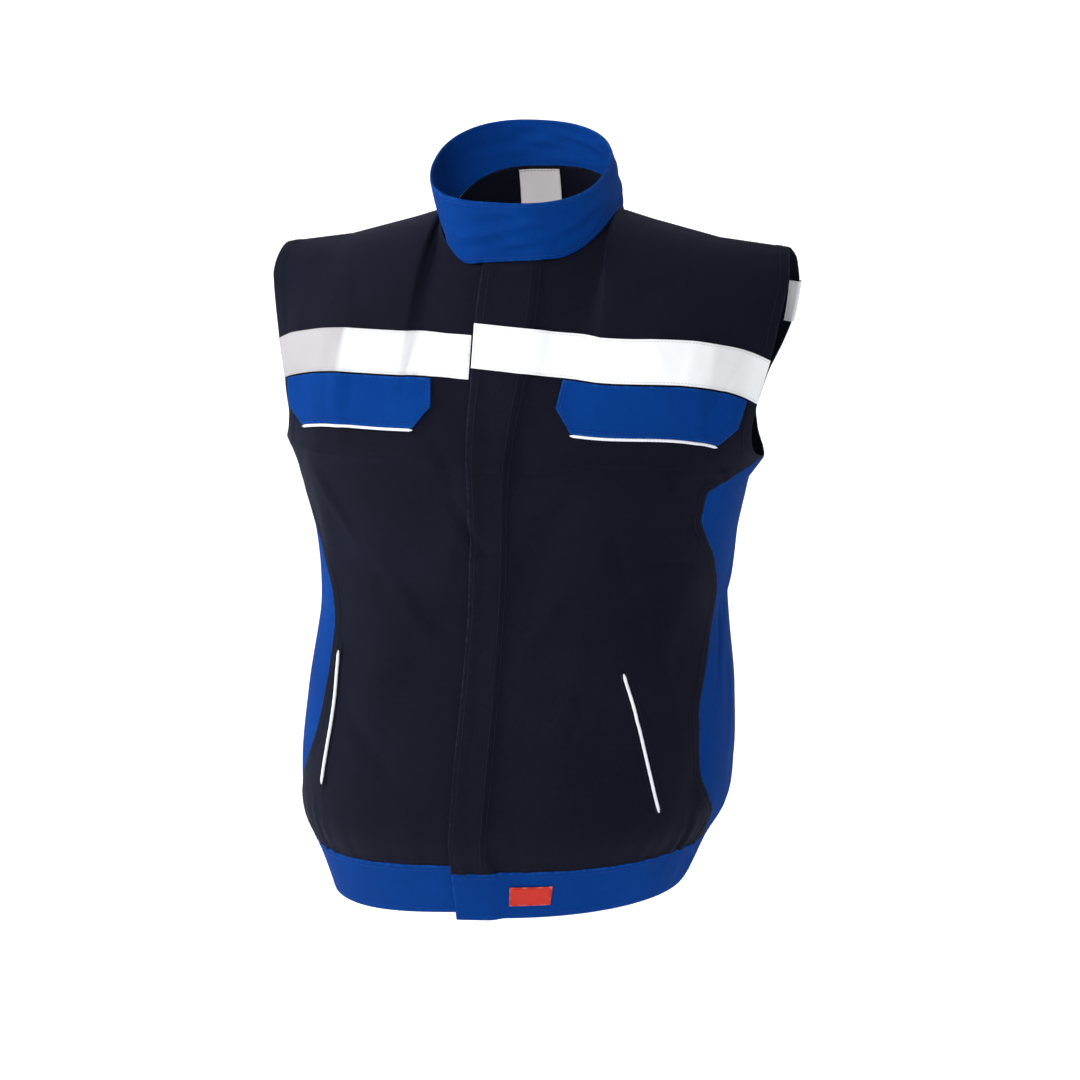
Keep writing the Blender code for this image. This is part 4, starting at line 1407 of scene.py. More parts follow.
@dataclass
class Front:
    """One front of the vest; the wearer's left one carries the fly strip."""

    side: Side
    finishes: Finishes
    grid: PanelGrid = PanelGrid(128, 108, 100, 0.30)
    seam_inset: float = -0.0001
    pocket_top_rise: float = 0.293
    pocket_length: float = 0.155
    pocket_rows: tuple[float, float] = (0.0055, -0.0045)
    fly_rows: tuple[float, float] = (0.0, 1.3)
    fly_edge_row: float = 1.4
    welt_width: float = 0.013
    welt_height: float = 0.0011
    welt_edge: float = 0.002
    band_reach: float = 0.030
    band_shift: float = 2.7
    step_start: float = 0.2
    step_length: float = 2.0
    fly_clearance: float = 0.0004
    floor_start: float = 0.25
    floor_length: float = 0.4
    fly_top_gap: float = 0.012

    def inner_angle(self, run: Array) -> Array:
        """Angle in degrees, counted towards the side, of the panel's edge at the front."""
        if self.side is Side.LEFT:
            return FLY.edge(run)
        return np.zeros(np.shape(run))

    def pocket(self) -> Line:
        """The slanted hand pocket's opening, downwards."""
        share = np.linspace(0.0, 1.0, 60)
        drop = FORM.neck_to_hem - self.pocket_top_rise + self.pocket_length * share
        return Line.hung(along(POCKET_LINE, share, self.side.column), drop)

    def base(self, angle: Array, run: Array) -> Array:
        """Lift of the wall's base: level, or over the other front where the fly lies on it."""
        if self.side is Side.RIGHT:
            return np.zeros_like(angle)
        near_band = smooth((FORM.waist_seam + self.band_reach - run) / self.band_reach)
        past = np.degrees(angle) - FLY.sewn(run) - self.step_start - self.band_shift * near_band
        over = SHELLS.cloth + SHELLS.placket_gap + self.fly_clearance
        return over * (1.0 - smooth(past / self.step_length))

    def floor(self, angle: Array, run: Array) -> Array:
        """Lift of the inner face, which drops back to the form beside the centre line."""
        if self.side is Side.RIGHT:
            return np.zeros_like(angle)
        past = (np.degrees(angle) - self.floor_start) / self.floor_length
        return self.base(angle, run) * (1.0 - smooth(past))

    def swell(self, angle: Array, run: Array) -> Array:
        """Waist gathers, and the pocket's welt on the outer side of its opening."""
        line = self.pocket().points()
        places = FORM.surface(angle, run)
        away = nearest(places, line)
        slope = unit(line[-1] - line[0])
        outside = np.cross(FORM.normals(angle, run), slope)
        toward = ((places - line.mean(axis=0)) * outside).sum(axis=-1) * self.side.value
        welt = np.exp(-(away / self.welt_width) ** 2) * smooth(0.5 + toward / self.welt_edge)
        return waist_gathers(angle, run) + self.welt_height * welt

    def build(self) -> list[bpy.types.Object]:
        """Make the panel, its hems and felled seams, and its stitches."""
        side, form, fly_rows = self.side, FORM, []
        left = side is Side.LEFT
        runs = self.grid.runs()
        start, end = self.inner_angle(runs), edge_angle(side.column, runs, self.seam_inset)
        angle = side.value * np.radians(start + (end - start) * self.grid.shares())
        rise = tuck_rise(runs)
        seams, armhole, stitches = ROWS.along_edge(
            side.column, self.seam_inset, 0.0, side.value, ROWS.front_shoulder)
        band = ROWS.over_band(start.min(), end[0, 0], side.value, self.grid.columns + 20)
        hems = [armhole]
        if left:
            down = np.linspace(form.waist_seam + ROWS.above_band,
                               form.shoulder_top - self.fly_top_gap, 260)
            fly_rows = [Line.at(FLY.sewn(down) + turn, down) for turn in self.fly_rows]
            fly_rows.append(Line.at(FLY.edge(down) + self.fly_edge_row, down))
            hems.append(Line.at(FLY.edge(down), down))
        else:
            runs = runs + form.right_lift(angle, runs)
            band = Line(band.angle, band.run + form.right_lift(band.angle, band.run))
        pocket = self.pocket()
        stitches += [*fly_rows, band, *(pocket.moved(gap) for gap in self.pocket_rows)]
        nodes = ("front_left", "placket") if left else ("front_right",)
        piece = ClothPiece(
            f"cloth_front_{side.word}", nodes, "navy_cloth", self.finishes.navy,
            self.finishes.navy_thread, SHELLS.cloth, self.base,
            Cut(0.33, 0.80, Hold.HUNG, 0.215 if left else 0.195), seams=seams, hems=hems,
            stitches=stitches, swell=self.swell, floor=self.floor)
        return piece.build(angle, runs, rise)


@dataclass
class Back:
    """The whole back, from side seam to side seam."""

    finishes: Finishes
    grid: PanelGrid = PanelGrid(104, 88, 150, 0.60)
    seam_inset: float = -0.0001
    band_ends: tuple[float, float] = (113.0, 247.0)

    def build(self) -> list[bpy.types.Object]:
        """Make the panel with its armhole hems, felled seams and stitches."""
        runs = self.grid.runs()
        width = 2.0 * self.grid.shares() - 1.0
        angle = np.radians(180.0 + edge_angle(3, runs, self.seam_inset) * width)
        seams, hems, stitches = [], [], []
        for sign in (1.0, -1.0):
            sewn, hem, rows = ROWS.along_edge(3, self.seam_inset, 180.0, sign, ROWS.back_shoulder)
            seams += sewn
            hems.append(hem)
            stitches += rows
        stitches.append(ROWS.over_band(*self.band_ends, 1.0, 240))
        piece = ClothPiece(
            "cloth_back", ("back_panel",), "navy_cloth", self.finishes.navy,
            self.finishes.navy_thread, SHELLS.cloth, level(0.0), Cut(0.64, 0.84, Hold.HUNG, 0.395),
            seams=seams, hems=hems, stitches=stitches, swell=waist_gathers)
        return piece.build(angle, runs, tuck_rise(runs))


@dataclass
class SidePanel:
    """The contrast panel under one arm."""

    side: Side
    finishes: Finishes
    grid: PanelGrid = PanelGrid(128, 2, 38, 0.15)
    seam_inset: float = -0.0001

    def build(self) -> list[bpy.types.Object]:
        """Make the panel between the front seam and the back seam."""
        form, side = FORM, self.side
        first = seam_table(side.column, -self.seam_inset)[:len(SIDE_SEAMS)]
        last = seam_table(3, -self.seam_inset)[:len(SIDE_SEAMS)]
        runs = self.grid.runs()
        runs = runs[runs <= -form.armhole_drop][:, None]
        start = along(first, runs, 1, level=True)
        end = 180.0 - along(last, runs, 1, level=True)
        angle = side.value * np.radians(start + (end - start) * self.grid.shares())
        band = ROWS.over_band(start[0, 0], end[0, 0], side.value, 60)
        piece = ClothPiece(
            f"cloth_side_{side.word}", (f"side_panel_{side.word}",), "royal_cloth",
            self.finishes.royal, self.finishes.royal_thread, SHELLS.cloth,
            level(0.0), Cut(0.19, 0.46, Hold.HUNG, 0.067), stitches=[band], swell=waist_gathers)
        return piece.build(angle, runs, tuck_rise(runs))


@dataclass
class ChestTape:
    """The reflective tape of each front and of the back."""

    finishes: Finishes
    width: float = 0.046
    drop: float = 0.130
    back_drop: float = 0.072
    stitch: float = 0.0024
    end_drop: float = 1.16
    end_inset: float = 0.15
    # Where painted shade greys the tape as it turns from the light, and how strongly.
    turn_shade_starts: tuple[float, float] = (47.0, 37.5)
    left_turn_shade: float = 0.30
    right_turn_shade: tuple[float, float] = (0.40, 0.60)
    hem_lift: float = 0.0006
    hem_ease: float = 0.06
    wrap_outside: float = 0.006
    wrap_inside: float = 0.011
    wrap_radius: float = 0.0021
    wrap_middle: float = 0.0003
    rounding: float = 0.0006

    def top_drop(self, angle: Array, side: Side) -> Array:
        """Drop of a front tape's top edge at an angle in degrees."""
        return self.drop * along(TAPE_LINE, angle, side.column)

    def front(self, side: Side) -> list[bpy.types.Object]:
        """One front piece, from the fly's free edge to the armhole.

        Args:
            side: The wearer's side that it lies on.

        Returns:
            The tape and its stitches.
        """
        first = FLY.free_angle if side is Side.LEFT else -FLY.free_angle + 0.5
        share = edged(22, self.width)[:, None]
        reach = radians(ARMHOLE[4, side.column])
        rows = FORM.run_at_drop(side.value * reach, self.drop * self.end_drop + self.width * share)
        end = edge_angle(side.column, rows) - self.end_inset
        degrees = first + (end - first) * edged(160, 0.31)[None, :]
        grid = Line.hung(side.value * degrees, self.top_drop(degrees, side) + self.width * share)
        raised = FLY.over if side is Side.LEFT else self.on_panel
        middle = degrees.min(axis=0)[2:-2]
        down = np.linspace(self.stitch, self.width - self.stitch, 24)
        lines = [Line.hung(side.value * turned, self.top_drop(turned, side) + gap)
                 for turned, gap in ((middle, down[0]), (middle, down[-1]),
                                     (np.full(24, middle[1]), down))]
        piece = ClothPiece(
            f"chest_tape_{side.word}", (f"tape_{side.word}",), "reflective_tape",
            self.finishes.tape, self.finishes.pale_thread, SHELLS.tape_cloth,
            lambda a, r: raised(a),
            Cut(0.35 if side is Side.LEFT else 0.265, self.width, Hold.LAID,
                rests_on=(f"cloth_front_{side.word}",)),
            stitches=lines, rounding=self.rounding, turn_shade_at=self.painted_turn_shade)
        return piece.build(grid.angle, grid.run)

    def painted_turn_shade(self, angle: Array) -> Array:
        """Painted shade on the tape where it turns from the light: past the folds beside the arms,
        most on the right.
        """
        left_start, right_start = self.turn_shade_starts
        round_body = np.degrees(angle)
        near, far = self.right_turn_shade
        right = near * smooth((-round_body - 8.0) / 10.0)
        right = right + far * smooth((-round_body - right_start) / 2.0)
        left = smooth((round_body - left_start) / 3.0) * (1.0 - smooth((round_body - 55.0) / 7.0))
        return right * (angle > -pi / 2) + self.left_turn_shade * left * (angle < pi / 2)

    def on_panel(self, angle: Array) -> Array:
        """Lift of a layer that lies straight on a panel and its hem."""
        hem = 1.0 - smooth((radians(FORM.shoulder_tip_angle) - np.abs(angle)) / self.hem_ease)
        return SHELLS.cloth + SHELLS.layer_gap + self.hem_lift * hem

    def back(self) -> list[bpy.types.Object]:
        """The piece across the back, between the armholes."""
        share = edged(20, self.width)[:, None]
        rows = FORM.run_at_drop(radians(180.0 + ARMHOLE[5, 3]), self.back_drop + self.width * share)
        reach = edge_angle(3, rows) - np.degrees(self.wrap_outside / FORM.shoulder_half_width)
        degrees = 180.0 + reach * (2.0 * edged(200, 0.55)[None, :] - 1.0)
        grid = Line.hung(degrees, self.back_drop + self.width * share)
        lines = [Line.hung(degrees[0], self.back_drop + gap)
                 for gap in (self.stitch, self.width - self.stitch)]
        base = 0.5 * SHELLS.cloth + self.wrap_middle + self.wrap_radius
        piece = ClothPiece(
            "chest_tape_back", ("tape_back",), "reflective_tape", self.finishes.tape,
            self.finishes.pale_thread, SHELLS.tape_cloth, level(base),
            Cut(0.65, self.width, Hold.LAID, rests_on=("cloth_back",)),
            stitches=lines, rounding=self.rounding, turn_shade_at=self.painted_turn_shade)
        return piece.build(grid.angle, grid.run) + [self.turned_end(s) for s in (1.0, -1.0)]

    def turned_end(self, sign: float) -> bpy.types.Object:
        """An end of the back tape, wrapped round the armhole's edge to the inside.

        The wall follows a U: along the outside, half round the cloth's edge, then back along
        the inside. Each grid is that path at its own distance from the cloth's middle.

        Args:
            sign: 1 for the wearer's right armhole, -1 for the left.

        Returns:
            The wrapped end.
        """
        rows = edged(20, self.width)[:, None]
        run = FORM.run_at_drop(radians(180.0 + sign * ARMHOLE[5, 3]),
                               self.back_drop + self.width * rows)
        edge, middle = edge_angle(3, run), 0.5 * SHELLS.cloth + self.wrap_middle
        turn = np.linspace(0.5 * pi, -0.5 * pi, 13)
        along_out = np.linspace(-self.wrap_outside, 0.0, 9)[:-1]
        along_in = np.linspace(0.0, -self.wrap_inside, 21)[1:]
        grids = []
        for radius in (self.wrap_radius, self.wrap_radius + SHELLS.tape_cloth):
            over = np.concatenate([along_out, radius * np.cos(turn), along_in])
            lift = np.concatenate([np.full(8, radius), radius * np.sin(turn), np.full(20, -radius)])
            angle = np.radians(180.0 + sign * (edge + np.degrees(over / FORM.shoulder_half_width)))
            surface, normals = FORM.surface(angle, run), FORM.normals(angle, run)
            grids.append(surface + (middle + lift)[None, :, None] * normals)
        away = from_edge(grids[1])
        word = "right" if sign > 0.0 else "left"
        made = Sheet(f"chest_tape_end_{word}", grids[0], grids[1], run, away,
                     np.abs(away - self.stitch), self.finishes.tape, np.zeros(away.shape)).build()
        Cut(0.025, self.width, Hold.FOLDED, rests_on=("cloth_back",)).declare(made)
        return place(made, "reflective_tape")


@dataclass
class PocketFlap:
    """A chest pocket flap with cut corners and light piping along its lower edge."""

    side: Side
    tape: ChestTape
    finishes: Finishes
    height: float = 0.054
    corner: float = 0.024
    below_tape: float = 0.002
    inner_angle: float = 12.5
    piping_radius: float = 0.0016
    piping_gap: float = 0.0004
    piping_lift: float = 0.0007
    spring: float = 0.0012
    stitch: float = 0.0050
    end_stitch: float = 1.2

    @property
    def outer_angle(self) -> float:
        """Angle in degrees of the flap's outer edge."""
        return 60.5 if self.side is Side.LEFT else 56.5

    @property
    def turn(self) -> float:
        """Angle in degrees that a cut corner takes up."""
        return float(np.degrees(self.corner / FORM.chest_half_width))

    def top_drop(self, degrees: Array) -> Array:
        """Drop of the top edge, just below the tape."""
        return self.tape.top_drop(degrees, self.side) + self.tape.width + self.below_tape

    def bottom_drop(self, degrees: Array) -> Array:
        """Drop of the lower edge, with its two corners cut off."""
        inside = np.clip((degrees - self.inner_angle) / self.turn, 0.0, 1.0)
        outside = np.clip((self.outer_angle - degrees) / self.turn, 0.0, 1.0)
        return self.top_drop(degrees) + self.height - self.corner * (2.0 - inside - outside)

    def lift(self, angle: Array, run: Array) -> Array:
        """Lift of the flap's inner face: the flap springs off the panel towards its free edge."""
        degrees = np.abs(np.degrees(angle))
        drop = -FORM.plain(angle, run)[..., 2]
        share = np.clip((drop - self.top_drop(degrees)) / self.height, 0.0, 1.0)
        return SHELLS.cloth + SHELLS.layer_gap + self.spring * share ** 2

    def build(self) -> list[bpy.types.Object]:
        """Make the flap, its stitches and its piping."""
        low, high, turn = self.inner_angle, self.outer_angle, self.turn
        rim = edged(10, self.corner) * turn
        middle = np.linspace(low + turn, high - turn, 84)[1:-1]
        degrees = np.concatenate([low + rim, middle, high - turn + rim])[None, :]
        share = edged(30, self.height)[:, None]
        top = self.top_drop(degrees)
        sign = self.side.value
        grid = Line.hung(sign * degrees, top + (self.bottom_drop(degrees) - top) * share)
        ends = np.array([low + self.end_stitch, high - self.end_stitch])
        inset = np.linspace(*ends, 150)
        lines = [Line.hung(sign * inset, self.bottom_drop(inset) - self.stitch)]
        for edge, height in zip(ends, self.bottom_drop(ends) - self.top_drop(ends)):
            down = np.linspace(0.001, height - self.stitch, 30)
            lines.append(Line.hung(np.full(30, sign * edge), self.top_drop(edge) + down))
        piece = ClothPiece(
            f"pocket_flap_{self.side.word}", (f"flap_{self.side.word}",), "royal_cloth",
            self.finishes.royal, self.finishes.royal_thread, SHELLS.flap_cloth, self.lift,
            Cut(0.218 if self.side is Side.LEFT else 0.204, self.height, Hold.HUNG, 0.0107,
                rests_on=(f"cloth_front_{self.side.word}",)), stitches=lines)
        made = piece.build(grid.angle, grid.run)
        at = np.linspace(low + turn, high - turn, 200)
        line = Line.hung(sign * at, self.bottom_drop(at) + self.piping_radius + self.piping_gap)
        lift = SHELLS.cloth + SHELLS.layer_gap + self.piping_radius + self.piping_lift
        points = line.points() + lift * FORM.normals(line.angle, line.run)
        cord = tube(f"flap_cord_{self.side.word}", points, cord_radius(points, self.piping_radius),
                    self.finishes.piping)
        made.append(place(cord, "light_piping", f"flap_piping_{self.side.word}"))
        return made


def cord_radius(points: Array, radius: float) -> Array:
    """A cord's radius along its line: it thins at both ends and swells a little at stitches."""
    travel = arc_length(points, 0)
    left = np.minimum(travel, travel[-1] - travel)
    taper = 0.35 + 0.65 * smooth(left / 0.004)
    return radius * taper * (1.0 + 0.05 * np.sin(travel * tau / Needle.pitch))


@dataclass
class HandPocket:
    """The light piping along a slanted hand pocket's opening, with its bar tacks."""

    front: Front
    radius: float = 0.0018
    tack_rows: int = 14
    tack_length: float = 0.008
    tack_reach: float = 0.0045
    tack_sink: float = 0.0006

    def build(self) -> list[bpy.types.Object]:
        """Make the cord, then a bar tack of close stitches over each end."""
        side, finishes = self.front.side, self.front.finishes
        line = self.front.pocket()
        normals = FORM.normals(line.angle, line.run)
        lift = SHELLS.cloth + SHELLS.layer_gap + self.radius
        points = line.points() + lift * normals
        cord = tube(f"pocket_cord_{side.word}", points, cord_radius(points, self.radius),
                    finishes.piping)
        made = [place(cord, "light_piping", f"pocket_piping_{side.word}")]
        tack = Stitching(f"pocket_tacks_{side.word}", finishes.navy_thread,
                         Needle(radius=0.00035, length=0.0085, pitch=0.0086, rings=5))
        for first, step in ((0, 1), (-1, -1)):
            ahead = unit(line.points()[first + 3 * step] - line.points()[first])
            aside = np.cross(normals[first], ahead)
            sunk = normals[first] * (self.radius * 0.2 - self.tack_sink)
            for travel in np.linspace(0.0, self.tack_length, self.tack_rows):
                ends = np.outer([-self.tack_reach, self.tack_reach], aside)
                ends = points[first] + ahead * travel + sunk + ends
                tack.sew(ends, np.repeat(normals[first][None, :], 2, axis=0))
        made.append(place(tack.build(), "navy_cloth"))
        return made


@dataclass
class Collar:
    """The stand collar: one strip round the neck whose right end runs in under the left."""

    finishes: Finishes
    height: float = 0.070
    half_width: float = 0.0965
    front_reach: float = 0.105
    back_reach: float = 0.085
    front_rise: float = 0.013
    back_rise: float = 0.096
    side_dip: float = 0.004
    side_lean: float = 0.003
    lean: float = 0.012
    corner_rise: float = 0.010
    corner_angle: float = 11.0
    bow: float = 0.0015
    end_angle: float = -40.0
    underlap: float = 16.0
    tuck_start: float = 306.0
    tuck_length: float = 32.0
    tuck_rise: float = 0.7
    foot_gap: float = 0.0003
    foot_sink: float = 0.0013
    rounding: float = 0.0022
    rows: tuple[float, float] = (0.93, 0.07)
    end_row: float = 3.4

    def neckline(self, round_neck: Array) -> Array:
        """Angle round the body of the panels' neck edge at an angle round the neck."""
        turn = np.arctan2(np.sin(round_neck), np.cos(round_neck))
        front = np.abs(turn) <= pi / 2
        away = np.where(front, np.abs(turn), pi - np.abs(turn))
        away = away * radians(FORM.neck_angle) / (pi / 2)
        return np.sign(turn) * np.where(front, away, pi - away)

    def foot(self, travel: Array, turn: Array) -> Array:
        """The lower edge: it overhangs the panels' neck edge and lies on the fly strip."""
        angle = self.neckline(turn)
        run = FORM.shoulder_top - along(COLLAR_LAP, travel, 1)
        raised = SHELLS.placket_cloth + SHELLS.placket_gap
        degrees = np.degrees(angle)
        raised = raised * smooth((degrees - FLY.free_angle + 3.0) / 3.0)
        raised = raised * smooth((FLY.end() + 3.0 - degrees) / 3.0)
        raised = np.where(travel < 180.0, raised, 0.0)
        sunk = self.foot_sink * smooth((travel - 60.0) / 30.0)
        lift = SHELLS.cloth + self.foot_gap + raised - sunk
        return FORM.surface(angle, run) + lift[..., None] * FORM.normals(angle, run)

    def rim(self, round_neck: Array, outset: float) -> Array:
        """The top edge, dipping from the back neck to the front."""
        sine, cosine = squared_circle(round_neck, 0.5 * (2.0 + FORM.neck_squareness))
        reach = np.where(cosine > 0.0, self.front_reach, self.back_reach)
        x = (self.half_width + outset) * sine - self.lean
        y = -(reach + outset) * cosine
        middle = 0.5 * (self.front_rise + self.back_rise)
        z = middle - (middle - self.front_rise) * cosine - self.side_dip * sine * sine
        return np.stack([x, y, z - self.side_lean * sine], axis=-1)

    def creases(self, travel: Array, share: Array) -> Array:
        """Soft creases across the strip: slanting waves that fade towards the rim and foot."""
        fade = np.sin(pi * np.clip(share, 0.0, 1.0)) ** 0.8
        front = np.exp(-((travel - 46.0) / 42.0) ** 2)
        front = front + 0.6 * np.exp(-((travel - 190.0) / 60.0) ** 2)
        slow = np.sin(tau * (2.1 * share + 0.012 * travel + 0.15 * np.sin(travel * 0.11)))
        fast = np.sin(tau * (3.4 * share - 0.019 * travel) + 1.1)
        drape = 0.5 * np.sin(np.radians(travel * 5.0) + 0.8)
        drape = drape + 0.3 * np.sin(np.radians(travel * 9.0))
        return fade * (0.0020 * front * (slow + 0.6 * fast) + 0.0007 * drape)

    def face(self, travel: Array, share: Array, outset: float, plump: Array) -> Array:
        """One face of the strip.

        Args:
            travel: Degrees round from the free end.
            share: Share of the way up from the foot.
            outset: How far out the face lies: 0 inside, or the strip's thickness outside.
            plump: How much of its half thickness is left at each place.

        Returns:
            The face's points.
        """
        turn = np.radians(self.end_angle + travel)
        inward = smooth((travel - self.tuck_start) / self.tuck_length)
        inward = inward * (SHELLS.double_cloth + SHELLS.layer_gap)
        corner = self.corner_rise * np.clip(1.0 - travel / self.corner_angle, 0.0, 1.0)
        centre = np.stack([np.sin(turn), -np.cos(turn), np.zeros_like(turn)], axis=-1)
        upright = np.array([0.0, 0.0, 1.0])
        foot = self.foot(travel, turn) + outset * centre
        top = self.rim(turn, outset)
        rise = np.linalg.norm(top - foot, axis=-1)
        foot = foot - (centre - self.tuck_rise * upright) * inward[..., None]
        top = top - centre * inward[..., None]
        share = share + (1.0 - share) * corner / rise
        bow = self.bow * np.sin(pi * share) + self.creases(travel, share)
        middle = 0.5 * SHELLS.double_cloth - outset
        bow = bow + middle * (1.0 - plump)
        return foot + (top - foot) * share[..., None] + centre * bow[..., None]

    def build(self) -> list[bpy.types.Object]:
        """Make the strip and its stitches near the rim, the foot and the free end."""
        reach = 360.0 + self.underlap
        travel, share = np.broadcast_arrays(
            reach * edged(330, 0.60)[None, :], edged(34, self.height)[:, None])
        flat = self.face(travel, share, 0.0, np.ones(travel.shape))
        edge = from_edge(flat)
        plump = 0.2 + 0.8 * np.sqrt(1.0 - (1.0 - np.clip(edge / self.rounding, 0.0, 1.0)) ** 2)
        outer = self.face(travel, share, SHELLS.double_cloth, plump)
        inner = self.face(travel, share, 0.0, plump)
        rows = [(np.linspace(2.0, self.tuck_start, 420), np.full(420, height))
                for height in self.rows]
        rows.append((np.full(40, self.end_row), np.linspace(0.08, self.rows[0], 40)))
        lines = [self.face(at, up, SHELLS.double_cloth, np.ones(at.shape)) for at, up in rows]
        stitch = nearest(outer, np.concatenate(lines))
        wall = Sheet("stand_collar", inner, outer, share * self.height, edge, stitch,
                     self.finishes.royal).build()
        made = [place(wall, "royal_cloth", "collar")]
        sewing = Stitching("collar_stitches", self.finishes.royal_thread)
        for (at, up), line in zip(rows, lines):
            beside = self.face(at, up, SHELLS.double_cloth + 0.001, np.ones(at.shape))
            sewing.sew(line, unit(beside - line))
        made.append(place(sewing.build(), "royal_cloth"))
        rests_on = ("cloth_front_left", "cloth_front_right", "cloth_back")
        Cut(0.57, 0.095, Hold.FOLDED, 0.039, rests_on).declare(*made)
        return made


@dataclass
class Waistband:
    """The waistband in three lengths; the wearer's left end laps over the right one."""

    finishes: Finishes
    lap_ramp: float = 0.4
    underlap_share: float = 0.55
    upper_row: float = 0.0060
    lower_row: float = 0.0065
    rounding: float = 0.0020

    def stretch(self, name: str, node: str, first: float, last: float, columns: int,
                lift: Callable[[Array], Array], cut: Cut) -> list[bpy.types.Object]:
        """One length of the band between two angles in degrees.

        Args:
            name: The piece's name.
            node: The CAD node that it stands for.
            first: Angle at its first end.
            last: Angle at its last end.
            columns: How many columns the grid has.
            lift: Lift of its inner face at an angle in degrees.
            cut: How it was cut.

        Returns:
            The wall and its stitches.
        """
        form = FORM
        length = abs(np.radians(last - first)) * form.radius
        angle = np.radians(first + (last - first) * edged(columns, length))[None, :]
        run = -form.neck_to_hem + form.waistband_height * edged(22, form.waistband_height)[:, None]
        lines = [Line.at(np.linspace(first, last, 2 * columns)[3:-3], height) for height in
                 (form.waist_seam - self.upper_row, self.lower_row - form.neck_to_hem)]
        if node == "waistband_right":
            angle, run = np.broadcast_arrays(angle, run)
            run = run + form.right_lift(angle, run)
            lines = [Line(row.angle, row.run + form.right_lift(row.angle, row.run))
                     for row in lines]
        piece = ClothPiece(
            name, (node,), "royal_cloth", self.finishes.royal, self.finishes.royal_thread,
            SHELLS.double_cloth, lambda a, r: lift(np.degrees(a)) + np.zeros_like(r), cut,
            stitches=lines, swell=self.gathers, rounding=self.rounding)
        return piece.build(angle, run)

    @staticmethod
    def gathers(angle: Array, run: Array) -> Array:
        """Soft upright ripples where the band is drawn in, at the sides and the back."""
        aside = smooth((np.abs(np.sin(0.5 * angle)) - 0.45) / 0.25)
        share = np.clip((run + FORM.neck_to_hem) / FORM.waistband_height, 0.0, 1.0)
        waves = np.sin(angle * 58.0 + 2.0 * np.sin(angle * 9.0) + 0.8 * share)
        return 0.0010 * np.sin(pi * share) ** 0.7 * aside * waves

    def build(self) -> list[bpy.types.Object]:
        """Make the left, right and back lengths."""
        left_side, right_side = SIDE_SEAMS[0, 1:3]
        free_end, lap_end = float(FLY.edge(FORM.waist_seam)), FLY.end()
        ramp = self.lap_ramp * (lap_end - free_end)

        def lapped(angle: Array) -> Array:
            """Lift over the other end of the band, easing down past the lap."""
            share = smooth((lap_end + 0.5 * ramp - angle) / ramp)
            return (SHELLS.double_cloth + SHELLS.layer_gap) * share

        under_end = free_end + self.underlap_share * (lap_end - free_end)
        height = FORM.waistband_height
        made = self.stretch(
            "hem_band_left", "waistband_left", free_end, left_side, 110, lapped,
            Cut(0.40, height, Hold.GATHERED, rests_on=("cloth_front_left", "cloth_side_left")))
        made += self.stretch(
            "hem_band_right", "waistband_right", under_end, -right_side, 100, np.zeros_like,
            Cut(0.38, height, Hold.GATHERED, rests_on=("cloth_front_right", "cloth_side_right")))
        made += self.stretch(
            "hem_band_back", "waistband_back", left_side, 360.0 - right_side, 250, np.zeros_like,
            Cut(0.84, height, Hold.GATHERED, rests_on=("cloth_back",)))
        return made


@dataclass
class Labels:
    """The blank satin label inside the back neck and the blank woven tab on the waistband."""

    finishes: Finishes
    neck_width: float = 0.046
    neck_length: float = 0.075
    neck_angle: float = 181.3
    tab_width: float = 0.054
    tab_height: float = 0.0245
    tab_angle: float = 15.0
    tab_row: float = 0.0016
    tab_end_row: float = 0.4
    neck_row: float = 0.003
    rim: float = 0.0008
    rounding: float = 0.0004

    def build(self) -> list[bpy.types.Object]:
        """Make both labels with their sewn edges."""
        half = np.degrees(0.5 * self.neck_width / FORM.neck_half_width) * FORM.neck_angle / 90.0
        across = self.neck_angle + half * (2.0 * edged(26, self.neck_width, self.rim) - 1.0)
        angle = np.radians(across)[None, :]
        top = FORM.shoulder_top - 2.0 * SHELLS.double_cloth
        run = top - self.neck_length * edged(36, self.neck_length, self.rim)[::-1][:, None]
        inside = -SHELLS.inside_gap - SHELLS.label_cloth
        upper = Line.at(across[2:-2], top - self.neck_row)

        def curl(angle: Array, run: Array) -> Array:
            """Base of the label: it hangs a little free of the back at its lower end."""
            share = np.clip((top - run) / self.neck_length, 0.0, 1.0)
            wave = 0.0006 * np.sin((np.degrees(angle) - self.neck_angle) * 0.9)
            return inside - (0.0022 * share ** 2 + wave * share)

        label = ClothPiece("neck_satin", ("neck_label",), "label_satin", self.finishes.satin,
                           self.finishes.pale_thread, SHELLS.label_cloth, curl,
                           Cut(self.neck_width, 0.045, Hold.HUNG, rests_on=("cloth_back",)),
                           rounding=self.rounding)
        made = label.build(angle, run)
        normals = -FORM.normals(upper.angle, upper.run)
        sewing = Stitching("neck_satin_stitches", self.finishes.navy_thread)
        sewing.sew(upper.points() - inside * normals, normals)
        made.append(place(sewing.build(), "label_satin"))
        half = float(np.degrees(0.5 * self.tab_width / FORM.chest_half_width))
        across = self.tab_angle + half * (2.0 * edged(34, self.tab_width, self.rim) - 1.0)
        middle = FORM.waist_seam - 0.5 * FORM.waistband_height
        run = middle + self.tab_height * (edged(18, self.tab_height, self.rim)[:, None] - 0.5)
        turned = np.linspace(across[0] + self.tab_end_row, across[-1] - self.tab_end_row, 60)
        upright = middle + np.linspace(-1.0, 1.0, 30) * (0.5 * self.tab_height - self.tab_row)
        lines = [Line.at(turned, upright[end]) for end in (0, -1)]
        lines += [Line.at(turned[end], upright) for end in (0, -1)]
        tab = ClothPiece("hem_tab_weave", ("hem_tab",), "tab_weave", self.finishes.tab,
                         self.finishes.tab, SHELLS.label_cloth,
                         level(SHELLS.double_cloth + SHELLS.layer_gap),
                         Cut(self.tab_width, self.tab_height, Hold.LAID,
                             rests_on=("hem_band_left",)),
                         stitches=lines, rounding=self.rounding)
        return made + tab.build(np.radians(across)[None, :], run)


# The studio.


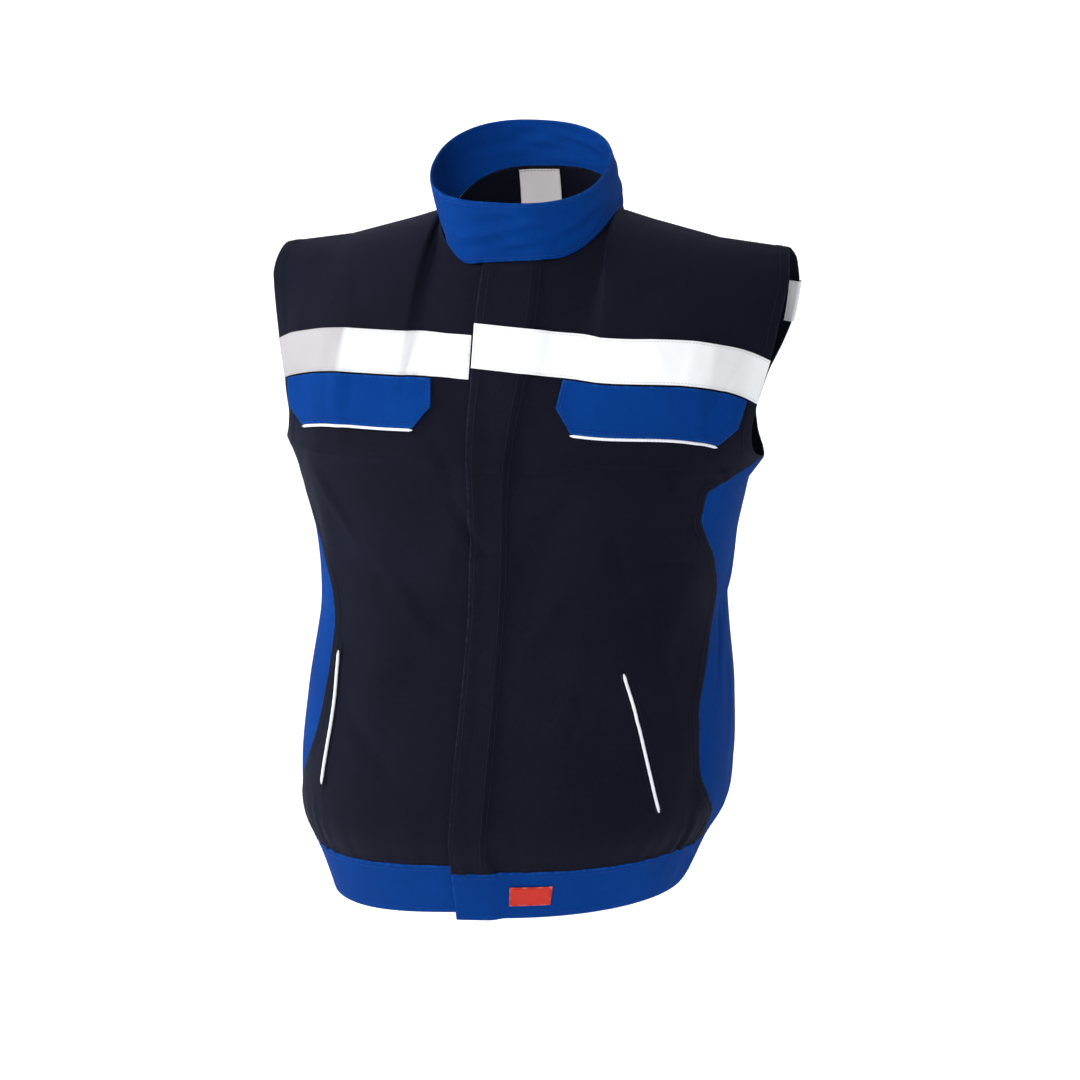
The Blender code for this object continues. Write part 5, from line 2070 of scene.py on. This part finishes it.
@dataclass(frozen=True)
class Studio:
    """The camera at the photograph's angle, soft light and a pale backdrop."""

    azimuth: float = 14.0
    elevation: float = 11.0
    distance: float = 2.8
    roll: float = 0.5
    lens: float = 82.3
    sensor: float = 36.0
    target: tuple[float, float, float] = (0.014, 0.0, -0.372)
    floor: float = -1.15
    wall: float = 2.6
    reach: float = 40.0
    air: float = 0.30
    lights: tuple[tuple[str, tuple[float, float, float], float, float], ...] = (
        ("key_light", (-0.5, -2.1, 1.15), 0.8, 36.0),
        ("fill_light", (1.9, -2.2, 0.4), 1.8, 4.0),
        ("left_light", (-2.3, -0.6, 0.6), 0.8, 48.0),
        ("top_light", (0.2, 0.3, 2.2), 1.5, 8.0))

    def stand(self, item: bpy.types.Object, place_at: Array, back: Array,
              roll: float = 0.0) -> None:
        """Link an item that looks against a direction, and stand it somewhere.

        Args:
            item: The camera or light.
            place_at: Where it stands.
            back: The unit direction behind it.
            roll: Its turn about that direction, in radians.
        """
        bpy.context.collection.objects.link(item)
        right = unit(np.cross(-back, [0.0, 0.0, 1.0]))
        up = np.cross(right, -back)
        axes = [np.cos(roll) * right + np.sin(roll) * up, np.cos(roll) * up - np.sin(roll) * right]
        matrix = np.eye(4)
        matrix[:3] = np.column_stack([*axes, back, place_at])
        item.matrix_world = Matrix(matrix.tolist())

    def camera(self) -> None:
        """Place the camera: back along azimuth and elevation, then rolled about its axis."""
        turn, tip, roll = (radians(x) for x in (self.azimuth, self.elevation, self.roll))
        back = np.array([np.sin(turn) * np.cos(tip), -np.cos(turn) * np.cos(tip), np.sin(tip)])
        data = bpy.data.cameras.new("photo_camera")
        data.lens, data.sensor_width = self.lens, self.sensor
        eye = bpy.data.objects.new("photo_camera", data)
        self.stand(eye, np.array(self.target) + self.distance * back, back, roll)
        bpy.context.scene.camera = eye

    def light(self, name: str, place_at: tuple, size: float, power: float) -> None:
        """Add a soft square light that faces the vest."""
        data = bpy.data.lights.new(name, "AREA")
        data.size, data.energy = size, power
        lamp = bpy.data.objects.new(name, data)
        self.stand(lamp, np.array(place_at), unit(np.array(place_at) - np.array(self.target)))

    def backdrop(self) -> None:
        """A floor that curves up into a wall: a profile line swept sideways."""
        turn = np.linspace(0.0, pi / 2, 24)
        y = np.concatenate([[-self.reach], self.wall - 1.0 + np.sin(turn), [self.wall]])
        z = np.concatenate([[0.0], 1.0 - np.cos(turn), [6.0]]) + self.floor
        x = np.linspace(-self.reach, self.reach, 9)
        points = np.stack(np.broadcast_arrays(x[None, :], y[:, None], z[:, None]), axis=-1)
        index = np.arange(points[..., 0].size).reshape(points.shape[:2])
        points = points.reshape(-1, 3)
        paper = add_mesh("studio_backdrop", points, quads(index).tolist(), points[:, :2], {},
                         StageFinish().material())
        paper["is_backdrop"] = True

    def build(self) -> None:
        """Set up the whole studio."""
        self.camera()
        self.backdrop()
        for light in self.lights:
            self.light(*light)
        world = bpy.data.worlds.new("studio_air")
        world.use_nodes = True
        inputs = world.node_tree.nodes["Background"].inputs
        inputs["Color"].default_value = (1.0, 1.0, 1.0, 1.0)
        inputs["Strength"].default_value = self.air
        bpy.context.scene.world = world
        bpy.context.scene.view_settings.view_transform = "Standard"


def main() -> None:
    """Build the studio, then every sub-assembly of the vest in order."""
    logging.basicConfig(level=logging.INFO, format="%(message)s")
    Studio().build()
    finishes = Finishes.make()
    fronts = [Front(side, finishes) for side in Side]
    tape = ChestTape(finishes)
    for front in fronts:
        front.build()
    Back(finishes).build()
    for side in Side:
        SidePanel(side, finishes).build()
        tape.front(side)
        PocketFlap(side, tape, finishes).build()
    tape.back()
    for front in fronts:
        HandPocket(front).build()
    Collar(finishes).build()
    Waistband(finishes).build()
    Labels(finishes).build()
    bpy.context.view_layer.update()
    total = sum(len(o.data.polygons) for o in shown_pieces() if o.type == "MESH")
    log.info("faces in all: %d", total)


if __name__ == "__main__":
    main()
